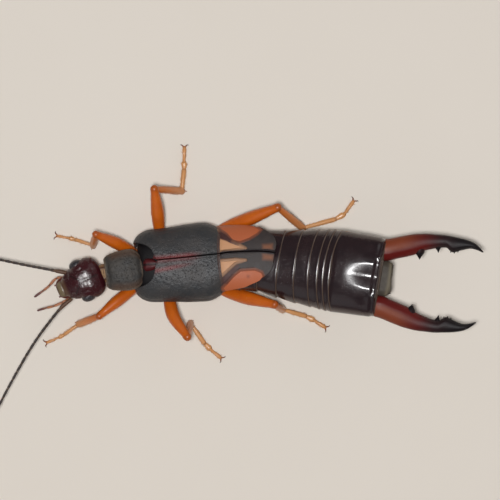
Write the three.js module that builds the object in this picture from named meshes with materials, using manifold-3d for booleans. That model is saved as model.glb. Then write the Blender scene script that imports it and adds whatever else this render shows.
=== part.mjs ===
// An earwig at life size: a large male with orange legs, standing with its forceps held out behind it.
// Millimetres, +Z up. The head points to -X, the forceps to +X, and +Y is the animal's right.
// Shapes are set out from a middle line that runs through the body, then moved to stand on the origin.

import * as THREE from "three";
import { mergeVertices } from "three/addons/utils/BufferGeometryUtils.js";
import Module from "manifold-3d";

const wasm = await Module();
wasm.setup();

// Gaps between pieces that meet, and the least thickness of a plate, leg or feeler.
const GAP = 0.25;
const FINE_GAP = 0.15;
const THIN = 0.5;

// Middle lines, as [place along the body, value] keys, for the neck and shield and for all behind them.
// The lean is in degrees, with the top to the right.
const FRONT_LINE = {
  y: [[-5, -0.74], [-1.5, -0.25]],
  z: [[-5, 1.91], [-1.5, 1.82]],
  lean: [[-5, 0], [-1.5, 2]],
};
const BODY_LINE = {
  y: [[-3.2, -0.26], [-1.5, -0.2], [-0.5, -0.14], [2.4, 0.08], [3.7, 0.13], [4.7, 0.06], [5.7, -0.11],
    [8.9, -0.51], [12, -1]],
  z: [[-3.2, 1.82], [2.5, 1.8], [5.5, 1.85], [8.5, 2.2], [12, 2.93]],
  lean: [[-2.6, 3], [-1.4, 5], [0.6, 7], [2.3, 9], [3.7, 8], [5.4, 3], [7, 0]],
};

// The shield behind the head, and the ring of flesh under it that carries the front legs.
const PRONOTUM = {
  from: -4.28,
  to: -2.12,
  half: [[-4.28, 0.8], [-4.1, 0.97], [-3.6, 1.1], [-3, 1.17], [-2.6, 1.13], [-2.3, 0.86], [-2.12, 0.3]],
  top: [[-4.28, 0.4], [-3.9, 0.65], [-3.2, 0.75], [-2.5, 0.62], [-2.12, 0.35]],
  bottom: 0.12,
  rise: 0.23,
  square: 2.6,
};
const PROTHORAX = {
  from: -3.65,
  to: -2.5,
  half: [[-3.65, 0.5], [-3.4, 0.7], [-2.8, 0.75], [-2.5, 0.65]],
  high: 0.44,
  rise: -0.56,
  square: 2.6,
};
const NECK = { from: -4.7, to: -3.4, half: 0.55, high: 0.42, rise: -0.25, square: 2 };

// The leathery wing cases, and the thorax that they cover.
const ELYTRA = {
  from: -2.5,
  to: 2.29,
  half: [[-2.5, 1.25], [-2.38, 1.52], [-2.15, 1.73], [-1.7, 1.89], [-0.6, 1.94], [0.4, 2.03], [1.4, 2.07],
    [2, 1.87], [2.29, 1.57]],
  top: [[-2.5, 0.65], [-2.4, 0.8], [-2, 1.05], [-1.2, 1.2], [0, 1.23], [2.29, 1.15]],
  bottom: 0.25,
  rise: -0.1,
  square: 2.4,
  hollow: { from: -4, to: 3.8, bottom: 2.5 },
};
const NOTCH_HALF = [[-2.63, 1.25], [-2.3, 1.22], [-1.9, 1.07], [-1.6, 0.84], [-1.45, 0.52], [-1.35, 0.1]];
const THORAX = {
  from: -2.25,
  to: 2.2,
  half: [[-2.25, 1], [-1.8, 1.5], [-0.5, 1.78], [0.8, 1.95], [1.3, 2.1], [1.9, 1.97], [2.2, 1.55]],
  high: 0.47,
  rise: -0.65,
  square: 2.4,
  back: { from: -2.95, to: 2.9, bottom: 1.35 },
};
const SCUTELLUM = { from: -2, to: -1.6, half: 0.43, top: 0.95, bottom: 0.5, square: 3 };

// How far to the right of the middle line the wing cases, and the wing tips behind them, meet.
const SEAM = [[-2.5, 0.2], [2.3, 0.22], [2.54, 0.27], [3.7, 0.32], [4.5, 0.42], [5.35, 0.52]];

// The folded tips of the hind wings, which show behind the wing cases.
const WING = {
  from: 2.54,
  to: 5.35,
  half: [[2.54, 1.8], [3.7, 1.7], [4.46, 1.5], [4.9, 1.25], [5.2, 1], [5.35, 0.75]],
  shift: [[2.54, 0.05], [3.7, 0.1], [4.5, 0.2], [5.3, 0.3]],
  rise: 0.12,
  edge: 0.25,
};

// The abdomen, with the hind edge of each plate, and the broad last plate that carries the forceps.
const ABDOMEN = {
  from: 2.5,
  to: 8.74,
  half: [[2.5, 1.7], [3.7, 1.78], [4.7, 1.8], [5.7, 1.94], [6.86, 2.13], [8, 2.27], [8.86, 2.36], [9.7, 2.34],
    [11.1, 2.29], [11.35, 2.2]],
  top: [[2.5, 0.85], [4.5, 0.88], [5.6, 1], [7, 1.15], [8.7, 1.2], [9.7, 1.25], [11.1, 1.1], [11.35, 0.98]],
  bottom: [[2.5, 0.9], [6, 1.1], [8, 1.2], [9.7, 1.2], [11.2, 0.95]],
  square: 2.3,
};
const TERGITE_ENDS = [2.5, 3.4, 4.5, 5.66, 6.69, 7.54, 8.06, 8.4, 8.74];
const TERGITE_STEP = 0.06;
const LAST_TERGITE = { from: 8.99, to: 11.35 };
const TUBERCLES = [-2, -1.15, 1.15, 2];
const TUBERCLE_RADIUS = 0.17;
const PYGIDIUM = {
  from: 11.6,
  to: 12.05,
  half: [[11.6, 0.78], [11.85, 0.72], [12.05, 0.5]],
  high: [[11.6, 0.28], [12.05, 0.18]],
  rise: -0.3,
  square: 2.6,
};

// One arm of the forceps: inner and outer edges across its own axis, and half its height.
const FORCEPS = {
  base: [11.57, -0.93, 2.66],
  yaw: -6,
  long: 5.57,
  inner: [[-0.2, 1], [0, 1], [0.8, 1.23], [1.6, 1.49], [2.4, 1.86], [3.43, 2.07], [3.66, 1.91], [3.83, 1.83],
    [4.29, 1.97], [4.86, 2.11], [5.26, 2.03], [5.57, 1.9]],
  outer: [[-0.2, 2.26], [0, 2.26], [0.8, 2.49], [1.6, 2.69], [2.4, 2.78], [3.14, 2.78], [3.83, 2.71],
    [4.4, 2.63], [4.97, 2.46], [5.31, 2.23], [5.57, 2]],
  high: [[0, 0.55], [1.2, 0.45], [2.4, 0.36], [3.8, 0.3], [4.9, 0.25], [5.57, 0.06]],
  square: 2.2,
  stations: [-0.2, 0.15, 0.5, 1, 1.6, 2.2, 2.8, 3.2, 3.43, 3.6, 3.83, 4.1, 4.5, 4.9, 5.2, 5.4, 5.57],
  right: { opening: 0.13, teeth: [{ at: 1.95, tip: 1.29 }, { at: 2.97, tip: 1.79 }] },
  left: { opening: 0, teeth: [{ at: 1.8, tip: 1.3 }, { at: 3.36, tip: 1.78 }] },
};

// A tooth of the forceps: its width, its root inside the blade, and its taper to the point.
const TOOTH = { width: 0.4, sunk: 0.3, taper: 0.15, waist: 0.55, point: 0.15 };

// The head, about its own middle, with its axis turned to the left and a little down.
const HEAD = {
  from: -1.32,
  to: 1.05,
  middle: [-5.71, -1.12, 1.8],
  ahead: [-0.92, -0.38, -0.06],
  half: [[-1.32, 0.62], [-1.22, 0.86], [-0.98, 1.08], [-0.57, 1.2], [-0.29, 1.17], [0, 1.09], [0.29, 0.95],
    [0.57, 0.83], [0.8, 0.66], [1.05, 0.46]],
  top: [[-1.32, 0.35], [-1.05, 0.6], [-0.5, 0.76], [0, 0.78], [0.5, 0.62], [1.05, 0.36]],
  bottom: [[-1.32, 0.3], [-1.05, 0.55], [-0.5, 0.7], [0, 0.72], [0.5, 0.6], [1.05, 0.36]],
  square: 2.3,
};
const EYE = { along: -0.14, across: 0.96, up: 0.14, long: 0.43, wide: 0.3, high: 0.36 };
const LABRUM = {
  from: 1,
  to: 1.42,
  half: [[1, 0.46], [1.2, 0.42], [1.42, 0.32]],
  high: 0.25,
  rise: 0.06,
  square: 2.8,
};
const MANDIBLE = { from: [0.85, 0.36, -0.5], to: [1.36, 0.27, -0.5], radius: 0.26, tipRadius: 0.22 };

// Feelers and mouth palps run through these places. The feelers' rings swell a little at their joints.
const ANTENNAE = {
  right: [[-6.3, -0.66, 1.95], [-7.1, -0.51, 2], [-8.6, -0.23, 1.95], [-11.5, 0.36, 1.8], [-15, 1, 1.75],
    [-18.86, 1.6, 1.9]],
  left: [[-6.2, -2.1, 1.9], [-6.7, -2.5, 1.95], [-7.5, -3.45, 1.9], [-8.4, -4.69, 1.8], [-9.5, -6.55, 1.7],
    [-11, -9.4, 1.7], [-12.86, -12.8, 1.9]],
};
const ANTENNA_RINGS = 24;
const ANTENNA_BEAD = 0.08;
const ANTENNA_RADIUS = [[0, 0.27], [0.06, 0.27], [0.1, 0.25], [0.8, 0.25], [1, 0.14]];
const PALPS = {
  right: [[-6.5, -0.88, 1.15], [-7.05, -0.93, 1.1], [-7.65, -1.47, 1], [-8.4, -2.02, 0.9]],
  left: [[-6.3, -2.1, 1.15], [-7.31, -2.55, 1.1], [-7.77, -2.66, 1], [-8.23, -2.8, 0.9]],
};
const PALP_RADIUS = [[0, 0.26], [0.75, 0.25], [1, 0.12]];

// Each leg from its root in the body to its toes. The last place is the point between the claws.
const LEGS = {
  leg_front_right: {
    root: [-3, 0.1, 1.1], hip: [-2.7, 0.6, 1], knee: [-4.8, 1.57, 2.3], ankle: [-5.05, 0.95, 0.32],
    toes: [[-6.06, 1.28], [-6.4, 1.36], [-7.12, 1.5]],
  },
  leg_front_left: {
    root: [-2.9, -0.9, 1.1], hip: [-2.5, -1.4, 1], knee: [-4.63, -3.09, 1.9], ankle: [-5.86, -3.58, 0.32],
    toes: [[-6.7, -4.18], [-7, -4.36], [-7.71, -4.65]],
  },
  leg_middle_right: {
    root: [-1, 0.9, 1.1], hip: [-1.2, 1.6, 0.95], knee: [-1.47, 4.17, 2.4], ankle: [0.06, 4.08, 0.32],
    toes: [[0.2, 5.3], [0.2, 5.75], [0.21, 6.6]],
  },
  leg_middle_left: {
    root: [-0.7, -1, 1.1], hip: [-0.75, -1.6, 0.95], bow: [-0.45, -2.94, 1.85], knee: [0.42, -4.28, 2.6],
    ankle: [0.56, -3.55, 0.32],
    toes: [[1.37, -4.69], [1.7, -5.03], [2.31, -5.54]],
  },
  leg_rear_right: {
    root: [1.5, 1.2, 1.1], hip: [2.45, 1.95, 0.9], knee: [5.58, 3.12, 2.4], ankle: [7.05, 1.95, 0.36],
    toes: [[8.91, 2.46], [9.43, 2.74], [9.97, 3.5]],
  },
  leg_rear_left: {
    root: [1.5, -1.1, 1.1], hip: [2.4, -1.65, 0.9], knee: [5.4, -2.43, 2.7], ankle: [5.89, -2.75, 0.55],
    toes: [[7.2, -3.12], [7.66, -3.35], [8.34, -3.78]],
  },
};
const FEMUR_RADIUS = [[0, 0.3], [0.3, 0.36], [0.6, 0.34], [0.85, 0.28], [1, 0.26]];
const TIBIA_RADIUS = [[0, 0.25], [0.7, 0.25], [1, 0.26]];
const COXA_RADIUS = 0.38;
const TARSUS_RADIUS = [[[0, 0.25], [1, 0.25]], [[0, 0.24], [1, 0.27]], [[0, 0.22], [1, 0.24]]];
const TARSUS_HEIGHT = 0.2;
const CLAW = { long: 0.42, spread: 55, radius: 0.13, tipRadius: 0.06 };

const RED_BROWN = { color: 0x3c1e23, roughness: 0.35, metalness: 0 };
const SLATE = { color: 0x3c3e41, roughness: 0.7, metalness: 0 };
const WING_ORANGE = { color: 0xb46e4b, roughness: 0.5, metalness: 0 };
const GLOSS_BLACK = { color: 0x261e23, roughness: 0.25, metalness: 0 };
const FORCEPS_RED = { color: 0x732020, roughness: 0.35, metalness: 0 };
const LEG_ORANGE = { color: 0xb95a19, roughness: 0.4, metalness: 0 };
const FEELER_BROWN = { color: 0x322823, roughness: 0.6, metalness: 0 };
const PALE_BROWN = { color: 0x967850, roughness: 0.6, metalness: 0 };
const EYE_GREY = { color: 0x2a2a2e, roughness: 0.3, metalness: 0 };

const UP = new THREE.Vector3(0, 0, 1);
const ALONG = new THREE.Vector3(1, 0, 0);
const SURFACE_TOLERANCE = 0.002;
const LEAST_HEIGHT = 0.05;
const BEYOND = 4;
const SLOPE_STEP = 0.01;
const STEEP = 0.8;
const DOME = [38];

const radians = (degrees) => THREE.MathUtils.degToRad(degrees);
const vector = (place) => new THREE.Vector3(...place);

// A smooth value through [place, value] keys, level beyond the first and last of them.
function curveThrough(keys) {
  const rise = (i) => (keys[i + 1][1] - keys[i][1]) / (keys[i + 1][0] - keys[i][0]);
  const slopes = keys.map((_, i) => {
    if (i === 0) return rise(0);
    if (i === keys.length - 1) return rise(i - 1);
    const [before, after] = [rise(i - 1), rise(i)];
    return before * after > 0 ? (2 * before * after) / (before + after) : 0;
  });
  return (place) => {
    if (place <= keys[0][0]) return keys[0][1];
    if (place >= keys.at(-1)[0]) return keys.at(-1)[1];
    const i = keys.findIndex((key, index) => place < keys[index + 1][0]);
    const span = keys[i + 1][0] - keys[i][0];
    const t = (place - keys[i][0]) / span;
    const ends = (1 - t) ** 2 * (1 + 2 * t) * keys[i][1] + t ** 2 * (3 - 2 * t) * keys[i + 1][1];
    return ends + span * t * (1 - t) * ((1 - t) * slopes[i] - t * slopes[i + 1]);
  };
}

// The place where a cross-section stands on a middle line: its middle, its left and its top.
function placesOn(line) {
  const [y, z, lean] = [line.y, line.z, line.lean].map(curveThrough);
  return (along) => {
    const middle = new THREE.Vector3(along, y(along), z(along));
    const next = along + SLOPE_STEP;
    const ahead = new THREE.Vector3(next, y(next), z(next)).sub(middle).normalize();
    const across = new THREE.Vector3().crossVectors(ahead, UP).normalize();
    const up = new THREE.Vector3().crossVectors(across, ahead);
    const turn = -radians(lean(along));
    return { middle, across: across.applyAxisAngle(ahead, turn), up: up.applyAxisAngle(ahead, turn) };
  };
}

const frontPlace = placesOn(FRONT_LINE);
const bodyPlace = placesOn(BODY_LINE);

// The same for the head, with places measured forwards from its middle. Across is to the right.
function headPlace(along) {
  const ahead = vector(HEAD.ahead).normalize();
  const across = new THREE.Vector3().crossVectors(ahead, UP).normalize();
  const up = new THREE.Vector3().crossVectors(across, ahead);
  return { middle: vector(HEAD.middle).addScaledVector(ahead, along), across, up };
}

const pointAt = (place, across, up) => place.middle.clone()
  .addScaledVector(place.across, across)
  .addScaledVector(place.up, up);

// Points round a cross-section. A square of 2 gives an ellipse, and more fills out its corners.
function oval(place, { half, top, bottom, rise = 0, square = 2 }, sides) {
  const bow = (value) => Math.sign(value) * Math.abs(value) ** (2 / square);
  return Array.from({ length: sides }, (_, i) => {
    const angle = (2 * Math.PI * i) / sides;
    const high = Math.sin(angle) > 0 ? top : bottom;
    return pointAt(place, half * bow(Math.cos(angle)), rise + high * bow(Math.sin(angle)));
  });
}

// Four corners, between two places across and two heights.
function box(place, [from, to], [low, high]) {
  return [[to, low], [to, high], [from, high], [from, low]].map(([across, up]) => pointAt(place, across, up));
}

// The closed surface of a geometry as a solid that can be joined and cut.
function solidOf(geometry) {
  geometry.deleteAttribute("normal");
  geometry.deleteAttribute("uv");
  const merged = mergeVertices(geometry, 1e-5);
  return new wasm.Manifold(new wasm.Mesh({
    numProp: 3,
    vertProperties: new Float32Array(merged.attributes.position.array),
    triVerts: new Uint32Array(merged.index.array),
  }));
}

// A solid skinned over rings of points, with a flat fan at each end. It is a globe pulled to the rings.
function loft(rings) {
  const sides = rings[0].length;
  const globe = new THREE.SphereGeometry(1, sides, rings.length + 1);
  const hub = (ring) => ring.reduce((sum, point) => sum.add(point), new THREE.Vector3()).divideScalar(sides);
  const rows = [Array(sides).fill(hub(rings[0])), ...rings, Array(sides).fill(hub(rings.at(-1)))];
  rows.forEach((row, r) => {
    for (let column = 0; column <= sides; column += 1) {
      const point = row[column % sides];
      globe.attributes.position.setXYZ(r * (sides + 1) + column, point.x, point.y, point.z);
    }
  });
  return solidOf(globe);
}

const join = (...solids) => solids.reduce((whole, solid) => whole.add(solid));
const cut = (solid, ...tools) => tools.reduce((whole, tool) => whole.subtract(tool), solid);

// Evenly spaced places, or places that draw together towards both ends.
const evenly = (from, to, count) => Array.from({ length: count }, (_, i) => from + ((to - from) * i) / (count - 1));
const closing = (from, to, count) => Array.from({ length: count }, (_, i) => (
  from + ((to - from) * (1 - Math.cos((Math.PI * i) / (count - 1)))) / 2));

// A block between two edges across the body and two heights, for cutting plates out of a dome.
function bodyBlock(places, edges, heights) {
  return loft(places.map((along) => box(bodyPlace(along), edges(along), heights)));
}

// A round limb through points, with a dome round each end point. Its radius follows the share of its length.
function limb(points, radiusAt, { sides = 7, steps = 1 } = {}) {
  const path = new THREE.CatmullRomCurve3(points.map(vector), false, "centripetal");
  const run = vector(points.at(-1)).sub(vector(points[0])).normalize();
  const reference = Math.abs(run.z) > STEEP ? ALONG : UP;
  const ring = (share, shift, shrink) => {
    const radius = radiusAt(share) * shrink;
    const ahead = path.getTangentAt(share);
    const across = new THREE.Vector3().crossVectors(ahead, reference).normalize();
    const up = new THREE.Vector3().crossVectors(across, ahead);
    const middle = path.getPointAt(share).addScaledVector(ahead, shift * radiusAt(share));
    return oval({ middle, across, up }, { half: radius, top: radius, bottom: radius }, sides);
  };
  return loft([
    ...DOME.map((angle) => ring(0, -Math.cos(radians(angle)), Math.sin(radians(angle)))),
    ...evenly(0, 1, steps + 1).map((share) => ring(share, 0, 1)),
    ...DOME.toReversed().map((angle) => ring(1, Math.cos(radians(angle)), Math.sin(radians(angle)))),
  ]);
}

// A size that is one number, or that changes along through [place, value] keys.
const sizeAlong = (size) => (Array.isArray(size) ? curveThrough(size) : () => size);

// A rounded body on a middle line. Growing it moves its whole surface outwards.
function rounded(sizes, placeAt, [count, sides], { grow = 0, spaced = closing } = {}) {
  const { from, to, rise, square, high } = sizes;
  const [half, top, bottom] = [sizes.half, sizes.top ?? high, sizes.bottom ?? high].map(sizeAlong);
  return loft(spaced(from - grow, to + grow, count).map((along) => oval(placeAt(along), {
    half: half(along) + grow,
    top: Math.max(top(along) + grow, LEAST_HEIGHT),
    bottom: bottom(along) + grow,
    rise,
    square,
  }, sides)));
}

// The neck, and the ring of flesh and the shield behind it.
const neck = () => rounded(NECK, frontPlace, [3, 12], { spaced: evenly });
const prothorax = (grow) => rounded(PROTHORAX, frontPlace, [6, 16], { grow });
const pronotum = (grow) => rounded(PRONOTUM, frontPlace, [10, 20], { grow });

// The wing cases as one dome, which the thorax also follows from below.
function thorax(grow = 0) {
  const belly = rounded(THORAX, bodyPlace, [9, 20], { grow });
  const back = rounded({ ...ELYTRA, ...THORAX.back }, bodyPlace, [7, 16], { grow: grow - THIN - GAP });
  return join(belly, back);
}

const scutellum = () => rounded(SCUTELLUM, bodyPlace, [4, 12]);

// One shell for both wing cases, with the notch for the scutellum, and then the half to one side of the seam.
function wingCases(clear) {
  const notchHalf = curveThrough(NOTCH_HALF);
  const notch = bodyBlock(evenly(-3, -1.3, 8), (along) => [-notchHalf(along), notchHalf(along)], [-1, 3]);
  const outside = rounded(ELYTRA, bodyPlace, [12, 24]);
  const inside = rounded({ ...ELYTRA, ...ELYTRA.hollow }, bodyPlace, [7, 16], { grow: -THIN });
  return cut(outside, inside, notch, clear);
}

function elytron(side, shell) {
  const seam = curveThrough(SEAM);
  const edges = (along) => (
    side > 0 ? [-BEYOND, -seam(along) - GAP / 2] : [-seam(along) + GAP / 2, BEYOND]);
  return shell.intersect(bodyBlock(evenly(-3, 3, 4), edges, [-BEYOND, BEYOND]));
}

const abdomenDome = (from, to, grow, count) => (
  rounded({ ...ABDOMEN, from: from + grow, to: to - grow }, bodyPlace, [count, 24], { grow, spaced: evenly }));

// A wing tip is a plate of even thickness that follows the back of the abdomen.
function wingOutline(side, grow) {
  const half = curveThrough(WING.half);
  const shift = curveThrough(WING.shift);
  const seam = curveThrough(SEAM);
  const edges = (along) => {
    const inner = -seam(along) - (side * (GAP / 2 - grow));
    const outer = -shift(along) - (side * (half(along) + grow));
    return side > 0 ? [outer, inner] : [inner, outer];
  };
  return bodyBlock(closing(WING.from - grow, WING.to + grow, 10), edges, [WING.edge - grow, BEYOND]);
}

function wing(side) {
  const plate = cut(abdomenDome(2.4, 5.6, WING.rise, 6), abdomenDome(2.2, 5.8, WING.rise - THIN, 6));
  return plate.intersect(wingOutline(side, 0));
}

// The plates of the abdomen step down to one another, and a bed is sunk in them for the wing tips.
function abdomen() {
  const [half, top, bottom] = [ABDOMEN.half, ABDOMEN.top, ABDOMEN.bottom].map(curveThrough);
  const ring = (along, step) => oval(bodyPlace(along), {
    half: half(along) - step, top: top(along) - step, bottom: bottom(along) - step, square: ABDOMEN.square,
  }, 24);
  const rings = TERGITE_ENDS.slice(1).flatMap((end, i) => {
    const start = TERGITE_ENDS[i] + TERGITE_STEP;
    return [ring(start, TERGITE_STEP), ring((start + end) / 2, 0), ring(end, 0)];
  });
  const bed = [-1, 1].map((side) => wingOutline(side, GAP));
  const under = abdomenDome(2.2, 5.9, WING.rise - THIN - GAP, 6);
  return cut(loft(rings), cut(join(...bed), under));
}

// The last plate, with four bumps along its rear edge.
function lastTergite(grow = 0) {
  const { to } = LAST_TERGITE;
  const body = rounded({ ...ABDOMEN, ...LAST_TERGITE }, bodyPlace, [8, 24], { grow });
  const [half, top] = [ABDOMEN.half, ABDOMEN.top].map(curveThrough);
  const bumps = TUBERCLES.map((across) => {
    const drop = (Math.abs(across) / half(to)) ** ABDOMEN.square;
    const height = top(to) * (1 - drop) ** (1 / ABDOMEN.square);
    const bump = new THREE.SphereGeometry(TUBERCLE_RADIUS + grow, 8, 6);
    const place = pointAt(bodyPlace(to), across, height - TUBERCLE_RADIUS);
    bump.translate(place.x, place.y, place.z);
    return solidOf(bump);
  });
  return join(body, ...bumps);
}

const pygidium = () => rounded(PYGIDIUM, bodyPlace, [5, 14]);

// An arm of the forceps is a curved blade with two teeth on its inner edge.
function forcepsArm(name, side) {
  const { opening, teeth } = FORCEPS[name];
  const [innerCurve, outerCurve, high] = [FORCEPS.inner, FORCEPS.outer, FORCEPS.high].map(curveThrough);
  const spread = (along) => opening * (Math.max(along, 0) / FORCEPS.long) ** 2;
  const inner = (along) => innerCurve(along) + spread(along);
  const outer = (along) => outerCurve(along) + spread(along);
  const turn = new THREE.Matrix4().makeRotationZ(radians(FORCEPS.yaw)).setPosition(...FORCEPS.base);
  const ahead = new THREE.Vector3(1, 0, 0).transformDirection(turn);
  const across = new THREE.Vector3().crossVectors(ahead, UP);
  const middleAt = (along, out) => new THREE.Vector3(along, side * out, 0).applyMatrix4(turn);
  const arm = loft(FORCEPS.stations.map((along) => {
    const middle = middleAt(along, (outer(along) + inner(along)) / 2);
    const half = (outer(along) - inner(along)) / 2;
    const [top, bottom] = [high(along), high(along)];
    return oval({ middle, across, up: UP }, { half, top, bottom, square: FORCEPS.square }, 12);
  }));
  const spikes = teeth.map(({ at, tip }) => {
    const stages = [[inner(at) + TOOTH.sunk, 1], [tip + TOOTH.taper, TOOTH.waist], [tip, TOOTH.point]];
    return loft(stages.map(([out, share]) => {
      const half = (TOOTH.width * share) / 2;
      const section = { half: side * half, top: half, bottom: half };
      return oval({ middle: middleAt(at, out), across: ahead, up: UP }, section, 8);
    }));
  });
  return join(arm, ...spikes);
}

// The head and what it carries.
const headCapsule = (grow) => rounded(HEAD, headPlace, [11, 18], { grow });
const labrum = (grow) => rounded(LABRUM, headPlace, [5, 12], { grow });

function eye(side, grow = 0) {
  const { along, across, up, long, wide, high } = EYE;
  const globe = new THREE.SphereGeometry(1, 12, 8);
  globe.rotateX(Math.PI / 2);
  globe.scale(long + grow, wide + grow, high + grow);
  globe.rotateZ(Math.atan2(HEAD.ahead[1], HEAD.ahead[0]));
  const place = pointAt(headPlace(along), side * across, up);
  globe.translate(place.x, place.y, place.z);
  return solidOf(globe);
}

function mandible(side) {
  const ends = [MANDIBLE.from, MANDIBLE.to].map(([along, across, up]) => (
    pointAt(headPlace(along), side * across, up).toArray()));
  return limb(ends, curveThrough([[0, MANDIBLE.radius], [1, MANDIBLE.tipRadius]]));
}

function antenna(points) {
  const radius = curveThrough(ANTENNA_RADIUS);
  const beaded = (share) => radius(share) * (1 + ANTENNA_BEAD * Math.cos(2 * Math.PI * ANTENNA_RINGS * share));
  return limb(points, beaded, { sides: 6, steps: 2 * ANTENNA_RINGS });
}

function palp(points, grow = 0) {
  const radius = curveThrough(PALP_RADIUS);
  return limb(points, (share) => radius(share) + grow, { steps: 6 });
}

// A leg: the short root joints, the stout femur, the tibia, three tarsal joints on the ground, two claws.
// A femur that bows runs through a third place.
function leg({ root, hip, bow, knee, ankle, toes }) {
  const grounded = toes.map(([x, y]) => [x, y, TARSUS_HEIGHT]);
  const footJoints = [ankle, ...grounded];
  const pieces = [
    limb([root, hip], () => COXA_RADIUS),
    limb(bow ? [hip, bow, knee] : [hip, knee], curveThrough(FEMUR_RADIUS), { sides: 9, steps: 3 }),
    limb([knee, ankle], curveThrough(TIBIA_RADIUS)),
    ...TARSUS_RADIUS.map((radius, i) => limb([footJoints[i], footJoints[i + 1]], curveThrough(radius))),
  ];
  const start = vector(grounded[2]);
  const heading = start.clone().sub(vector(grounded[1])).normalize();
  const taper = curveThrough([[0, CLAW.radius], [1, CLAW.tipRadius]]);
  [-1, 1].forEach((side) => {
    const way = heading.clone().applyAxisAngle(UP, radians(side * CLAW.spread));
    const end = start.clone().addScaledVector(way, CLAW.long).setZ(CLAW.tipRadius);
    pieces.push(limb([start.toArray(), end.toArray()], taper, { sides: 5 }));
  });
  return join(...pieces).trimByPlane([0, 0, 1], 0);
}

// The widest closed surface of a solid, in a mesh with its own material.
function part(name, solid, finish) {
  const whole = solid.simplify(SURFACE_TOLERANCE).decompose()
    .reduce((best, piece) => (piece.volume() > best.volume() ? piece : best));
  const { vertProperties, triVerts } = whole.getMesh();
  const geometry = new THREE.BufferGeometry();
  geometry.setAttribute("position", new THREE.BufferAttribute(new Float32Array(vertProperties), 3));
  geometry.setIndex(new THREE.BufferAttribute(new Uint32Array(triVerts), 1));
  geometry.computeVertexNormals();
  const mesh = new THREE.Mesh(geometry, new THREE.MeshStandardMaterial(finish));
  mesh.name = name;
  return mesh;
}

const earwig = new THREE.Group();
const add = (name, solid, finish) => earwig.add(part(name, solid, finish));

const fineHead = headCapsule(FINE_GAP);
const grownProthorax = prothorax(GAP);
const grownThorax = thorax(GAP);
const grownAbdomen = abdomenDome(ABDOMEN.from - GAP, ABDOMEN.to + GAP, GAP, 10);
const grownTergite = lastTergite(GAP);
const wingShell = wingCases(grownThorax);

add("head", cut(headCapsule(), eye(1, FINE_GAP), eye(-1, FINE_GAP)), RED_BROWN);
add("labrum", cut(labrum(), fineHead), PALE_BROWN);
add("neck", cut(neck(), headCapsule(GAP), grownProthorax, pronotum(GAP)), PALE_BROWN);
add("prothorax", prothorax(), PALE_BROWN);
add("pronotum", cut(pronotum(), headCapsule(GAP), grownProthorax), SLATE);
add("thorax", thorax(), GLOSS_BLACK);
add("scutellum", cut(scutellum(), grownThorax), RED_BROWN);
add("abdomen", abdomen(), GLOSS_BLACK);
add("last_tergite", lastTergite(), GLOSS_BLACK);
add("pygidium", cut(pygidium(), grownTergite), GLOSS_BLACK);

[["right", 1], ["left", -1]].forEach(([name, side]) => {
  add(`eye_${name}`, eye(side), EYE_GREY);
  const grownMouth = join(fineHead, labrum(FINE_GAP), palp(PALPS[name], FINE_GAP));
  add(`mandible_${name}`, cut(mandible(side), grownMouth), RED_BROWN);
  add(`antenna_${name}`, cut(antenna(ANTENNAE[name]), fineHead), FEELER_BROWN);
  add(`palp_${name}`, cut(palp(PALPS[name]), fineHead), PALE_BROWN);
  add(`elytron_${name}`, elytron(side, wingShell), SLATE);
  add(`wing_${name}`, wing(side), WING_ORANGE);
  add(`forceps_${name}`, cut(forcepsArm(name, side), grownTergite), FORCEPS_RED);
});

Object.entries(LEGS).forEach(([name, sizes]) => {
  add(name, cut(leg(sizes), grownThorax, grownProthorax, grownAbdomen), LEG_ORANGE);
});

// The origin is under the middle of the whole animal, on the ground.
const bounds = new THREE.Box3().setFromObject(earwig);
const centre = bounds.getCenter(new THREE.Vector3());
earwig.position.set(-centre.x, -centre.y, -bounds.min.z);
earwig.updateMatrixWorld(true);

export default earwig;
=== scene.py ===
# An earwig at life size: a large male with orange legs, its forceps held out behind it.
# The frame's solids give every size and place. The pieces here are finer, and carry the finishes.
# Sizes are in millimetres in the frame's own layout, and are moved and scaled as each mesh is made.

import math

import bmesh
import bpy
import numpy as np
from bpy.props import FloatProperty, FloatVectorProperty, IntProperty, PointerProperty
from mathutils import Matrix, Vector


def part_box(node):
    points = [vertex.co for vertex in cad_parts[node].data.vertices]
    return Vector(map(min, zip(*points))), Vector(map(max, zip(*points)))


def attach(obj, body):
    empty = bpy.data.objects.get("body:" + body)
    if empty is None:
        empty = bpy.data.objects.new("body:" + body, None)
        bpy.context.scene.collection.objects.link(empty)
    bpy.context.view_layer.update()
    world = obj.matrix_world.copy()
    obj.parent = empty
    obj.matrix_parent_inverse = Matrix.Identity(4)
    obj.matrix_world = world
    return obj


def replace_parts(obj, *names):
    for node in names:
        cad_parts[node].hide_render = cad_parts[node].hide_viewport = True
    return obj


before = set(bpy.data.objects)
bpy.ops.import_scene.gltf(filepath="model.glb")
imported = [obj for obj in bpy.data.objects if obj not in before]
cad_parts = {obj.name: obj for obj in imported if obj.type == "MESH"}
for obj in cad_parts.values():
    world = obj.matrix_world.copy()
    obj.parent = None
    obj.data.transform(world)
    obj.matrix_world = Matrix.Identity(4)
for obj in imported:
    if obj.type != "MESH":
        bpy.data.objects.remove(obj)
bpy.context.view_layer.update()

bl_info = {
    "name": "Earwig",
    "version": (1, 0, 0),
    "blender": (4, 5, 0),
    "location": "3D View > Sidebar > Earwig",
    "description": "Builds a life-size earwig over its frame, with its finishes and a studio stage",
    "category": "Object",
}

MM = 0.001
UP = np.array([0.0, 0.0, 1.0])
SIDES = (("right", 1), ("left", -1))
DOME = (10, 30, 50, 70)

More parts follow.
